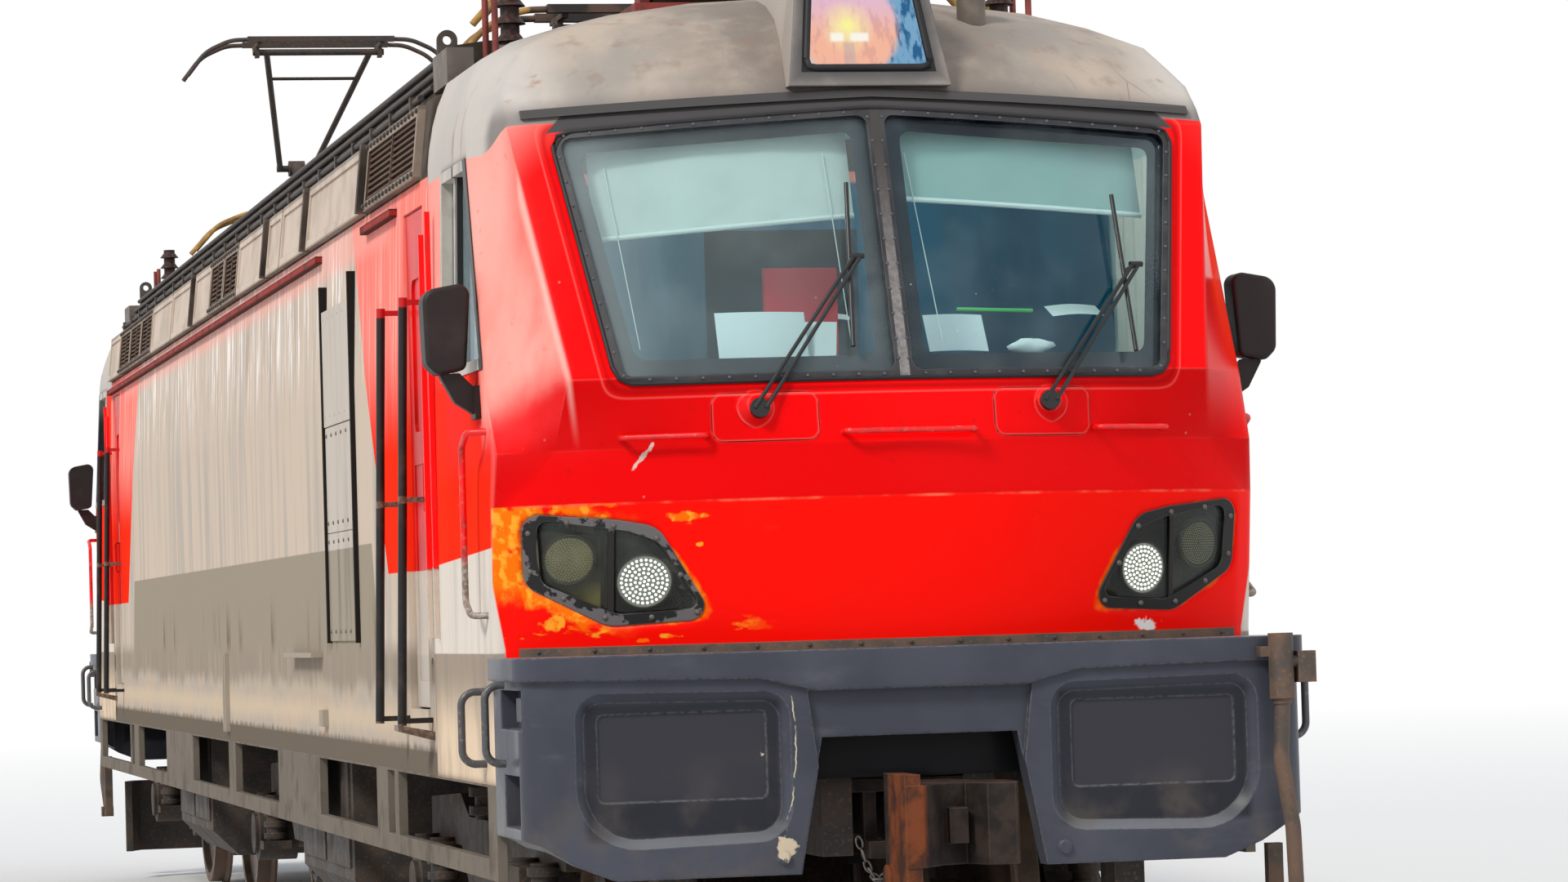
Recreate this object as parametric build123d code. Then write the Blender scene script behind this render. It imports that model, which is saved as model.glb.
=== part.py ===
from build123d import *
import math
import os

# An electric locomotive with two cabs and three two-axle bogies.
# Millimetres. X is across, Y is along, Z is up. The cab of the photo faces -Y.
# Z is 0 at the lowest point of the wheel flanges.
# A setback is measured from the nose plane of an end, back along the body.
# A reach in from the side is measured from the widest plane of the body towards its centre.

# Wheels and axles
flange_height = 30.0
wheel_radius = 625.0
rim_width = 130.0
wheel_back_spacing = 1440.0
axle_radius = 95.0
journal_radius = 75.0
journal_end = 1190.0

# Layout along the body
nose_plane = 10585.0
coupler_overhang = 681.0
bogie_spacing = 7000.0
bogie_wheelbase = 2900.0
cab_length = 2250.0
door_setback = 170.0
door_width = 580.0
vestibule_spare = 100.0

# Body section
body_half = 1520.0
wall = 60.0
sill_z = 1250.0
floor_under_z = 1340.0
floor_z = 1500.0
lean_z = 3000.0
eave_z = 3690.0
eave_in = 23.0
ledge_z = 4080.0
ledge_in = 65.0
parapet_z = 4370.0
parapet_in = 520.0
well_z = 4140.0

# Cab glazing
glass_thickness = 16.0
glass_inset = 12.0
frame_proud = 5.0
frame_depth = 45.0
pane_gap = 34.0

# Doors
door_bottom_z = 1520.0
door_top_z = 3640.0
door_thick = 40.0
door_gap = 8.0
door_recess = 30.0
hinge_pin = 7.0

# Bumper
bumper_top_z = 1740.0
bumper_bottom_z = 900.0
bumper_proud = 20.0
bumper_wall = 110.0
bumper_rear = 690.0

# Coupler
coupler_z = 1060.0 + flange_height
coupler_head = 640.0

# Bogie
beam_x = 1010.0
beam_width = 160.0
beam_half_length = 1900.0
beam_high_z = 1000.0
pivot_radius = 100.0
pivot_clear = 8.0
motor_radius = 330.0

# Pantograph
insulator_height = 300.0
base_beam = 60.0
lower_arm = 1700.0
upper_arm = 1700.0
lower_rest = 3.0
upper_rest = 0.0
head_rise = 95.0
raised_angle = 24.72
outer_pivot_y = 7480.0
inner_pivot_y = 5580.0

# Worked out from the values above
axle_z = wheel_radius + flange_height
door_front = cab_length + door_setback
door_rear = door_front + door_width
vestibule_end = door_rear + vestibule_spare
coupler_reach = nose_plane + coupler_overhang
pivot_z = well_z + insulator_height + base_beam + 100.0


def solid_of(shape):
    """One solid from a boolean result, or all of them where there are more."""
    solids = shape.solids()
    return solids[0] if len(solids) == 1 else Compound(solids)


def box(x0, x1, y0, y1, z0, z1):
    """A box between two corners."""
    size = (abs(x1 - x0), abs(y1 - y0), abs(z1 - z0))
    return Pos((x0 + x1) / 2, (y0 + y1) / 2, (z0 + z1) / 2) * Box(*size)


def rod(start, end, radius):
    """A round bar between two points."""
    a, b = Vector(*start), Vector(*end)
    place = Plane(origin=a, z_dir=b - a)
    return place * Cylinder(radius, (b - a).length, align=(Align.CENTER, Align.CENTER, Align.MIN))


def x_rod(x0, x1, y, z, radius):
    """A round bar along X."""
    return rod((min(x0, x1), y, z), (max(x0, x1), y, z), radius)


def bent_bar(points, radius, bend):
    """A round bar along straight runs joined by arcs."""
    path = FilletPolyline(*points, radius=bend)
    return sweep(Plane(origin=path @ 0, z_dir=path % 0) * Circle(radius), path=path)


def join(pieces):
    """All the pieces fused."""
    first, rest = pieces[0], pieces[1:]
    return first.fuse(*rest) if rest else first


def both_sides(piece):
    """A piece and its mirror image across the centre plane."""
    return [piece, piece.mirror(Plane.YZ)]


def both_ends(piece):
    """A piece at the -Y end and the same one turned to the +Y end."""
    return [piece, piece.rotate(Axis.Z, 180)]


def all_corners(piece):
    """A piece on both sides of both ends."""
    return [end for side in both_sides(piece) for end in both_ends(side)]


def at_front(setback):
    """Y of a setback at the end that faces -Y."""
    return setback - nose_plane


def prism_x(points, x0, x1):
    """Points as (setback, z), extruded along X at the -Y end."""
    face = Plane.YZ * make_face(Polyline([(at_front(s), z) for s, z in points], close=True))
    return Pos(x0, 0, 0) * extrude(face, x1 - x0, dir=(1, 0, 0))


def front_face(points, setback, radii=0.0):
    """A face at a setback from points as (x, z), with one radius or one for each corner."""
    plane = Plane(origin=(0, at_front(setback), 0), x_dir=(1, 0, 0), z_dir=(0, -1, 0))
    if radii:
        return plane * make_face(FilletPolyline(*points, radius=radii, close=True))
    return plane * make_face(Polyline(points, close=True))


def prism_y(points, s0, s1, radii=0.0):
    """Points as (x, z), extruded along Y at the -Y end."""
    return extrude(front_face(points, s1, radii), s1 - s0, dir=(0, -1, 0))


# Plan sections of the cab from the sill to the roof.
# Columns: height, centre setback, ridge in from the side, ridge setback,
# edge in from the side, edge setback, rear corner in from the side
cab_sections = [
    (1250, 125, 75, 625, 0, 700, 0),
    (1773, 125, 75, 625, 0, 700, 0),
    (2315, 30, 75, 530, 5, 600, 0),
    (2520, 40, 220, 440, 15, 560, 0),
    (2785, 92, 258, 310, 4, 700, 2),
    (3780, 462, 120, 727, 23, 1180, 25),
    (3850, 500, 120, 790, 30, 1230, 32),
    (3950, 590, 128, 900, 55, 1330, 50),
    (4030, 680, 170, 1000, 80, 1450, 72),
    (4130, 800, 239, 1100, 130, 1500, 115),
    (4230, 950, 435, 1250, 290, 1650, 260),
    (4310, 1150, 660, 1400, 520, 1800, 470),
    (4380, 1450, 1020, 1600, 900, 1900, 820),
    (4440, 1900, 1370, 1950, 1270, 2100, 1170),
]
ceiling_z = 3880.0


def cab_wire(section, inset):
    """One plan section of the cab, moved inward by the inset."""
    z, centre, ridge_in, ridge_s, edge_in, edge_s, rear_in = section
    rear = at_front(cab_length)
    ridge = (body_half - ridge_in - 0.85 * inset, at_front(ridge_s + 0.75 * inset))
    edge = (body_half - edge_in - inset, at_front(edge_s + 0.2 * inset))
    back = (body_half - rear_in - inset, rear)
    arc = ThreePointArc((-ridge[0], ridge[1]), (0, at_front(centre + inset)), ridge)
    lines = Polyline(ridge, edge, back, (-back[0], back[1]), (-edge[0], edge[1]), (-ridge[0], ridge[1]))
    return Pos(0, 0, z) * make_face([arc, lines])


def cab_loft(sections, inset):
    """The solid inside the cab sections, moved inward by the inset."""
    return loft([cab_wire(s, inset) for s in sections], ruled=True)


def cab_skin(first, last, outer, inner):
    """The layer of the cab between two insets, over a run of sections."""
    run = cab_sections[first:last + 1]
    return cab_loft(run, outer) - cab_loft(run, inner)


def nose_setback(x, z):
    """Setback of the nose's surface at a place on its curved front."""
    for low, high in zip(cab_sections, cab_sections[1:]):
        if low[0] <= z <= high[0]:
            share = (z - low[0]) / (high[0] - low[0])
            found = []
            for section in (low, high):
                ridge_x = body_half - section[2]
                depth = section[3] - section[1]
                radius = (ridge_x ** 2 + depth ** 2) / (2 * depth)
                found.append(section[1] + radius - math.sqrt(radius ** 2 - x ** 2))
            return found[0] + share * (found[1] - found[0])
    raise ValueError("height outside the cab")


def room_sections():
    """Sections of the inside of the cab, from its floor to its ceiling."""
    below = [s for s in cab_sections if s[0] < ceiling_z]
    return [(floor_z,) + below[0][1:]] + below[1:] + [(ceiling_z,) + below[-1][1:]]


# Windshield opening and right-hand pane, as (in from the side, z)
opening_corners = [(440, 2768), (277, 3752)]
pane_corners = [(465, 2792), (305, 3734)]
opening_top_z = 3828.0
pane_top_z = 3804.0
# Side window opening, as (setback, z)
side_opening = [(770, 2860), (1175, 3715), (1860, 3715), (1860, 2860)]
side_frame_width = 45.0


def windshield_opening():
    """The hole in the shell for both panes and their frame."""
    low_x, high_x = (body_half - reach for reach, z in opening_corners)
    low_z, high_z = (z for reach, z in opening_corners)
    points = [(-low_x, low_z), (low_x, low_z), (high_x, high_z), (0, opening_top_z), (-high_x, high_z)]
    return prism_y(points, -100, 1300, [60, 60, 90, 60, 90])


def windshield_panes():
    """Prisms of the two panes."""
    low_x, high_x = (body_half - reach for reach, z in pane_corners)
    low_z, high_z = (z for reach, z in pane_corners)
    points = [(pane_gap, low_z), (low_x, low_z), (high_x, high_z), (pane_gap, pane_top_z)]
    return both_sides(prism_y(points, -100, 1300, 40))


def side_window(margin):
    """Prisms of the side windows, made smaller by a margin."""
    (s0, z0), (s1, z1), (s2, z2), (s3, z3) = side_opening
    points = [(s0 + 1.6 * margin, z0 + margin), (s1 + 1.2 * margin, z1 - margin),
              (s2 - margin, z2 - margin), (s3 - margin, z3 + margin)]
    return both_sides(prism_x(points, body_half - 2 * wall, body_half + 100))


def wiper_hatches():
    """Slightly raised covers of the wiper gear, each with its boss."""
    cover = cab_skin(3, 4, -6, wall) & prism_y([(345, 2535), (345, 2715), (738, 2715), (738, 2535)], -60, 400, 40)
    boss_x, boss_z = 567, 2660
    boss_s = nose_setback(boss_x, boss_z)
    place = Plane(origin=(boss_x, at_front(boss_s) + 10, boss_z), z_dir=(0, -1, 0.25))
    boss = place * Cone(80, 45, 38, align=(Align.CENTER, Align.CENTER, Align.MIN))
    return both_sides(join([cover, boss]))


# Headlamp outline, as (in from the side, z, corner radius), starting at the top outer corner
lamp_outline = [(96, 2287, 60), (432, 2252, 120), (576, 2222, 110), (782, 1869, 55), (399, 1850, 120), (109, 2012, 80)]
lamp_centre = (930, 2070)
lamp_frame_width = 46.0
lamp_depth = 85.0
divider_in = 412.0
# Columns: in from the side, z, radius
lamp_discs = [(535, 2016, 95), (270, 2107, 88)]


def lamp_prism(margin):
    """Prism of the right-hand lamp unit, made smaller by a margin."""
    cx, cz = body_half - 590, lamp_centre[1]
    points, radii = [], []
    for reach, z, radius in lamp_outline:
        dx, dz = body_half - reach - cx, z - cz
        far = math.hypot(dx, dz)
        points.append((cx + dx * (1 - 1.25 * margin / far), cz + dz * (1 - 1.25 * margin / far)))
        radii.append(radius - 0.5 * margin)
    return prism_y(points, -100, 760, radii)


def headlamp():
    """Right-hand lamp unit: frame ring, rear plate, divider and two lamps."""
    inner = lamp_prism(lamp_frame_width)
    ring = cab_skin(1, 3, -frame_proud, frame_depth) & (lamp_prism(0) - inner)
    shelf = cab_skin(1, 3, frame_depth - 1, lamp_depth) & lamp_prism(0)
    hollow = cab_skin(1, 3, frame_depth - 2, lamp_depth - 18) & inner
    divider_x = body_half - divider_in
    middle = cab_skin(1, 3, 0, lamp_depth - 10) & inner & box(divider_x - 11, divider_x + 11, at_front(-50),
                                                             at_front(760), 1700, 2400)
    pieces = [ring, shelf - hollow, middle]
    for reach, z, radius in lamp_discs:
        barrel = rod((body_half - reach, at_front(-50), z), (body_half - reach, at_front(760), z), radius)
        pieces.append(cab_skin(1, 3, 34, lamp_depth - 10) & barrel & inner)
    return solid_of(join(pieces))


def lamp_lens():
    """The clear cover of a right-hand lamp unit, in two parts."""
    divider_x = body_half - divider_in
    slot = box(divider_x - 12, divider_x + 12, at_front(-50), at_front(760), 1700, 2400)
    return (cab_skin(1, 3, 8, 14) & (lamp_prism(lamp_frame_width) - slot)).solids()


def cab_shell():
    """The cab's outer skin with its floor, roof, windows and lamp pockets."""
    shell = cab_loft(cab_sections, 0) - cab_loft(room_sections(), wall)
    under = (sill_z - 10,) + cab_sections[0][1:]
    below = loft([cab_wire(under, wall), cab_wire((floor_under_z,) + under[1:], wall)], ruled=True)
    shell = shell.fuse(*wiper_hatches())
    return solid_of(shell.cut(below, windshield_opening(), *side_window(0), *both_sides(lamp_prism(0))))


def window_frames():
    """Frames of the windshield and side windows, and the strip above the windshield."""
    front = cab_skin(3, 6, -frame_proud, frame_depth) & windshield_opening()
    pieces = [solid_of(front.cut(*windshield_panes()))]
    ring = cab_skin(4, 6, -frame_proud, frame_depth)
    bars = [box(body_half - 2 * wall, body_half + 50, at_front(s), at_front(s + 30), 2880, 3700) for s in (1500, 1560)]
    layer = cab_skin(4, 6, glass_inset, glass_inset + 25)
    for whole, inner in zip(side_window(0), side_window(side_frame_width)):
        frame = (ring & whole) - inner
        pieces.append(solid_of(join([frame] + [layer & inner & bar for bar in both_sides(bars[0]) + both_sides(bars[1])
                                               if (layer & inner & bar).volume > 1])))
    brow_x, low, high = body_half - 175, 3822, 3858
    brow = [(-brow_x, low), (0, low + 56), (brow_x, low), (brow_x, high), (0, high + 58), (-brow_x, high)]
    pieces.append(solid_of(cab_skin(5, 7, -22, -0.5) & prism_y(brow, -100, 1400)))
    return pieces


def cab_glass():
    """Windshield panes and side panes that follow the shell."""
    skin = cab_skin(4, 6, glass_inset, glass_inset + glass_thickness)
    panes = []
    for cut in windshield_panes():
        panes += (skin & cut).solids()
    side = cab_skin(4, 6, glass_inset + 26, glass_inset + 34)
    for cut in side_window(side_frame_width):
        panes += (side & cut).solids()
    return panes


def half_profile(inset):
    """Half of the machine room's outline as (x, z), from the sill to the top."""
    if inset:
        return [
            (body_half - inset, floor_z),
            (body_half - inset, lean_z),
            (body_half - eave_in - inset, eave_z),
            (body_half - ledge_in - inset, ledge_z - 0.7 * inset),
            (body_half - ledge_in - 2 * inset, well_z - inset),
        ]
    return [
        (body_half, sill_z),
        (body_half, lean_z),
        (body_half - eave_in, eave_z),
        (body_half - ledge_in, ledge_z),
        (body_half - 120, ledge_z + 15),
        (body_half - 230, parapet_z - 20),
        (body_half - 370, parapet_z),
        (body_half - parapet_in, parapet_z),
        (body_half - parapet_in, well_z),
    ]


def full_profile(inset):
    """Both halves of the outline."""
    half = half_profile(inset)
    return half + [(-x, z) for x, z in reversed(half)]


def body_block():
    """The machine room's outer form between the cabs."""
    return prism_y(full_profile(0), cab_length, 2 * nose_plane - cab_length)


def door_opening():
    """Through the side wall at one door."""
    points = [(door_front, door_bottom_z), (door_front, door_top_z), (door_rear, door_top_z), (door_rear, door_bottom_z)]
    return prism_x(points, body_half - 2 * wall, body_half + 10)


# The door's hinge axis and the heights of its knuckles
hinge_x = body_half - door_recess - door_thick
hinge_s = door_rear - door_gap
knuckle_heights = [1750.0, 2550.0, 3350.0]
knuckle_height = 70.0


def body_knuckles():
    """The body's half of the door hinges at the +X side of the -Y end."""
    pieces = []
    for z in knuckle_heights:
        pin = rod((hinge_x, at_front(hinge_s), z), (hinge_x, at_front(hinge_s), z + knuckle_height), hinge_pin)
        plate = box(hinge_x - 6, hinge_x + wall - 30, at_front(hinge_s), at_front(door_rear + 25), z, z + knuckle_height)
        pieces.append(join([pin, plate]))
    return pieces


parapet_start = 2750.0
doorway_half = 330.0
doorway_top = 3500.0


def machine_body():
    """The body between the cabs, with a vestibule at each end and the closed machine room."""
    length_end = 2 * nose_plane - cab_length
    room = prism_y(full_profile(wall), vestibule_end + wall, 2 * nose_plane - vestibule_end - wall)
    hall = prism_y(full_profile(wall), cab_length + wall, vestibule_end)
    doorway = box(-doorway_half, doorway_half, at_front(cab_length - 10), at_front(cab_length + wall + 10),
                  floor_z + wall, doorway_top)
    below = box(-body_half + 40, body_half - 40, at_front(cab_length - 1), at_front(length_end + 1),
                sill_z - 1, floor_under_z)
    # The parapet starts behind the cab with a lower shoulder
    shoulder = [(body_half - 110, ledge_z + 15), (body_half - 183, 4155), (body_half - 324, 4251),
                (body_half - parapet_in - 10, 4320), (body_half - parapet_in - 10, parapet_z + 50),
                (body_half - 110, parapet_z + 50)]
    steps = all_corners(prism_y(shoulder, cab_length - 1, parapet_start))
    foot = box(body_half - 40, body_half + 5, at_front(door_front - 150), at_front(door_front - 60), 1610, 1740)
    recesses = all_corners(fillet(foot.edges().filter_by(Axis.X), 40))
    body = body_block().cut(room, *both_ends(hall), *both_ends(doorway), below, *steps, *all_corners(door_opening()),
                            *recesses)
    knuckles = [k for knuckle in body_knuckles() for k in all_corners(knuckle)]
    pins = []
    for pivot in (-bogie_spacing, 0.0, bogie_spacing):
        pins.append(rod((0, pivot, 830), (0, pivot, floor_under_z + 5), pivot_radius))
    return solid_of(body.fuse(*knuckles, *pins))


def door_leaf():
    """One leaf at the +X side of the -Y end."""
    x0, x1 = hinge_x, hinge_x + door_thick
    y0, y1 = at_front(door_front + door_gap), at_front(hinge_s)
    leaf = box(x0, x1, y0, y1, door_bottom_z + door_gap, door_top_z - door_gap)
    margin = 120
    window = box(x0 - 5, x1 + 5, y0 + margin, y1 - margin, 2700, 3350)
    window = fillet(window.edges().filter_by(Axis.X), 50)
    pane = box(x0 + 12, x1 - 12, y0 + margin - 4, y1 - margin + 4, 2696, 3354)
    panel = box(x1 - 6, x1 + 5, y0 + 80, y1 - 80, 1640, 2560)
    handle = bent_bar([(x1 - 5, y0 + 45, 2350), (x1 + 22, y0 + 45, 2350), (x1 + 22, y0 + 45, 2560),
                       (x1 - 5, y0 + 45, 2560)], 7, 12)
    notches = [rod((x0, y1, z - 4), (x0, y1, z + knuckle_height + 4), hinge_pin + 6) for z in knuckle_heights]
    pins = [rod((x0, y1, z - 40), (x0, y1, z - 4), hinge_pin) for z in knuckle_heights]
    return solid_of(leaf.cut(window, panel, *notches).fuse(pane, handle, *pins))


# Side covers on the -X side, each an upright or level plate.
# Columns: start setback, end setback, low z, high z, thickness
side_covers = [
    (4630, 4660, 1805, 3525, 22),
    (5710, 5740, 1805, 3525, 22),
    (4664, 5706, 1815, 2330, 9),
    (4664, 5706, 2334, 2840, 9),
    (4664, 5706, 2844, 3400, 14),
    (6100, 7300, 1735, 1760, 60),
    (10640, 10690, 1300, 1750, 26),
    (10740, 10790, 1300, 1750, 26),
    (5940, 6080, 1400, 1480, 30),
    (3200, 4200, 3655, 3690, 12),
    (5900, 18900, 3655, 3690, 12),
]


def side_cover_pieces():
    """Plates, gutters and small boxes on the sides, placed the same when the body is turned round."""
    body = body_block()
    pieces = []
    for start, end, low, high, thick in side_covers:
        end = min(end, 2 * nose_plane - cab_length - 20)
        plate = box(-body_half + 60, -body_half - thick, at_front(start), at_front(end), low, high)
        pieces += both_ends(solid_of(plate - body))
    return pieces


# Openings of the lower side plates in the first half, as (start setback, end setback)
skirt_openings = [(900, 3480), (3600, 3830), (4200, 6360), (8200, 10400)]
skirt_bottom_z = 880.0
skirt_strip = 80.0
skirt_thick = 40.0


def side_skirts():
    """Lower side plates with openings beside the wheels."""
    start_y = at_front(bumper_rear + 10)
    plate = box(body_half - skirt_thick, body_half, start_y, -start_y, skirt_bottom_z, sill_z)
    cuts = []
    for start, end in skirt_openings:
        cut = box(body_half - 2 * skirt_thick, body_half + 20, at_front(start), at_front(end),
                  skirt_bottom_z + skirt_strip, sill_z - 10)
        cuts += [cut, cut.mirror(Plane.XZ)]
    return both_sides(solid_of(plate.cut(*cuts)))


def bumper_plan(inset, z0, z1):
    """The bumper's plan outline, extruded between two heights."""
    front = at_front(inset - bumper_proud)
    side_x = body_half + bumper_proud - inset
    corner_x, bend = side_x - 130, front + 120
    rear = at_front(bumper_rear)
    middle = (corner_x + 130 * math.sin(math.radians(45)), front + 120 * (1 - math.cos(math.radians(45))))
    edges = [
        Line((-corner_x, front), (corner_x, front)),
        ThreePointArc((corner_x, front), middle, (side_x, bend)),
        Line((side_x, bend), (side_x, rear)),
        Line((side_x, rear), (-side_x, rear)),
        Line((-side_x, rear), (-side_x, bend)),
        ThreePointArc((-side_x, bend), (-middle[0], middle[1]), (-corner_x, front)),
    ]
    return Pos(0, 0, z0) * extrude(make_face(edges), z1 - z0, dir=(0, 0, 1))


def lobe_recess():
    """The soft-edged hollow of the right-hand lobe, and its blank plate place."""
    outer_x, inner_x, top, low = body_half - 185, 495, 1612, 1000
    rim = [(outer_x, top), (inner_x, top - 12), (inner_x, low + 20), (outer_x, low)]
    step = 46
    floor = [(outer_x - step, top - step), (inner_x + step, top - 12 - step), (inner_x + step, low + 20 + step),
             (outer_x - step, low + step)]
    hollow = loft([front_face(rim, -8, [110, 110, 140, 240]), front_face(floor, 30, [70, 70, 100, 200])], ruled=True)
    plate = prism_y([(593, 1190), (593, 1520), (body_half - 282, 1520), (body_half - 282, 1190)], -10, 38, 28)
    return [hollow, plate]


def bumper():
    """The grey end moulding with two lobes and the coupler's opening."""
    face_in = bumper_proud
    body = bumper_plan(face_in, bumper_bottom_z, bumper_top_z - 60)
    side = body_half + bumper_proud + 20
    band_line = [(-side, 1655), (-620, 1640), (-400, 1587), (400, 1587), (620, 1640), (side, 1655)]
    band = bumper_plan(0, 1560, bumper_top_z) & prism_y(band_line + [(side, 1800), (-side, 1800)], -60, 900)
    body = body.fuse(band)
    inside = bumper_plan(bumper_wall + face_in, bumper_bottom_z - 1, bumper_top_z - 60)
    gap = prism_y([(-480, 880), (-380, 1410), (380, 1410), (480, 880)], -60, 900)
    middle = prism_y([(-400, 1300), (-436, 1588), (436, 1588), (400, 1300)], -60, 24)
    low_corner = prism_y([(1130, 880), (1330, 960), (1460, 1040), (1600, 1090), (1600, 880)], -60, 900)
    pocket_x = body_half - 75
    pockets = [box(pocket_x, side, at_front(80), at_front(520), 1470, 1620),
               box(pocket_x, side, at_front(110), at_front(460), 1100, 1300)]
    cuts = [inside, gap, middle, cab_loft(cab_sections[:3], 0)]
    for piece in lobe_recess() + [low_corner] + pockets:
        cuts += both_sides(piece)
    body = body.cut(*cuts)
    bolts = [rod((s * 545, at_front(-14), 965), (s * 545, at_front(20), 965), 24) for s in (1, -1)]
    vents = [box(pocket_x - 5, pocket_x + 45, at_front(180), at_front(330), 1500, 1590)]
    return solid_of(body.fuse(*bolts, *both_sides(vents[0])))


def coupler():
    """Automatic coupler: head with its two teeth, guard arm, lock and the shank."""
    tip = -coupler_reach
    # Head outline in plan, as (x, distance back from the tip)
    outline = [
        (-235, 0), (-165, 0), (-60, 150), (40, 190), (90, 60), (190, 30), (225, 130), (225, 330),
        (120, 430), (90, coupler_head), (-90, coupler_head), (-120, 430), (-235, 330),
    ]
    face = make_face(Polyline([(x, tip + d) for x, d in outline], close=True))
    head = Pos(0, 0, coupler_z - 150) * extrude(face, 300, dir=(0, 0, 1))
    guard = box(-235, -175, tip + 5, tip + 330, coupler_z - 260, coupler_z + 190)
    lock = box(-40, 30, tip + 120, tip + 260, coupler_z - 70, coupler_z + 60)
    shank_end = at_front(890)
    shank = box(-85, 85, tip + coupler_head - 40, shank_end, coupler_z - 85, coupler_z + 85)
    hanger = box(-220, 220, at_front(250), at_front(310), coupler_z + 100, coupler_z + 150)
    posts = [box(x - 25, x + 25, at_front(255), at_front(305), coupler_z - 130, coupler_z + 120) for x in (-150, 150)]
    tray = box(-175, 175, at_front(170), at_front(310), coupler_z - 150, coupler_z - 85)
    eye = rod((-255, tip + 250, coupler_z - 200), (-160, tip + 250, coupler_z - 200), 55)
    return solid_of(join([head, guard, lock, shank, hanger, *posts, tray, eye]))


def coupler_pocket():
    """The draft box that holds the coupler under the cab floor."""
    cheeks = [box(s * 280 - 60, s * 280 + 60, at_front(250), at_front(1500), 950, floor_under_z) for s in (1, -1)]
    back = box(-280, 280, at_front(890), at_front(1100), 980, floor_under_z)
    reach = body_half - 220
    cross = box(-reach, reach, at_front(bumper_rear + 10), at_front(bumper_rear + 160), 1190, floor_under_z)
    return solid_of(join([back, cross, *cheeks]))


def plough():
    """Track plough under the bumper."""
    wide = body_half - 190
    points = [(-wide + 80, 330), (wide - 80, 330), (wide, 520), (wide, 580), (-wide, 580), (-wide, 520)]
    face = make_face(Polyline([(x, at_front(s)) for x, s in points], close=True))
    blade = Pos(0, 0, 210) * extrude(face, 540, dir=(0, 0, 1))
    inner = [(-wide + 130, 370), (wide - 130, 370), (wide - 50, 540), (wide - 50, 620), (-wide + 50, 620),
             (-wide + 50, 540)]
    hollow_face = make_face(Polyline([(x, at_front(s)) for x, s in inner], close=True))
    hollow = Pos(0, 0, 200) * extrude(hollow_face, 560, dir=(0, 0, 1))
    ribs = [box(x - 12, x + 12, at_front(330), at_front(420), 220, 740) for x in (-620, 0, 620)]
    arms = [box(s * 900 - 60, s * 900 + 60, at_front(360), at_front(560), 700, 1250) for s in (1, -1)]
    tops = [box(s * 900 - 60, s * 900 + 60, at_front(560), at_front(bumper_rear + 10), 1190, 1250) for s in (1, -1)]
    return solid_of(join([blade - hollow, *ribs, *arms, *tops]))


def wheelset(y):
    """Axle, two flanged wheels, the gear wheel and journals."""
    back = wheel_back_spacing / 2
    tread = wheel_radius
    bore = axle_radius - 5
    # Wheel profile as (radius, x)
    profile = [
        (bore, back), (tread + flange_height, back), (tread + flange_height, back + 18), (tread, back + 38),
        (tread, back + rim_width), (tread - 65, back + rim_width), (tread - 75, back + 85), (230, back + 75),
        (190, back + 150), (bore, back + 150),
    ]
    wheel = revolve(make_face(Polyline([(x, r) for r, x in profile], close=True)), Axis.X)
    axle = x_rod(-journal_end + 200, journal_end - 200, 0, 0, axle_radius)
    journal = x_rod(-journal_end, journal_end, 0, 0, journal_radius)
    gear = x_rod(motor_radius + 10, motor_radius + 110, 0, 0, 400)
    return Pos(0, y, axle_z) * solid_of(join([axle, journal, gear, *both_sides(wheel)]))


def coil_spring(x, y, z0, z1, radius, turns):
    """A coil spring drawn as a core with rings."""
    pieces = [rod((x, y, z0), (x, y, z1), radius * 0.78)]
    pitch = (z1 - z0) / turns
    for turn in range(turns):
        z = z0 + pitch * (turn + 0.25)
        pieces.append(rod((x, y, z), (x, y, z + pitch / 2), radius))
    return join(pieces)


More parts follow.
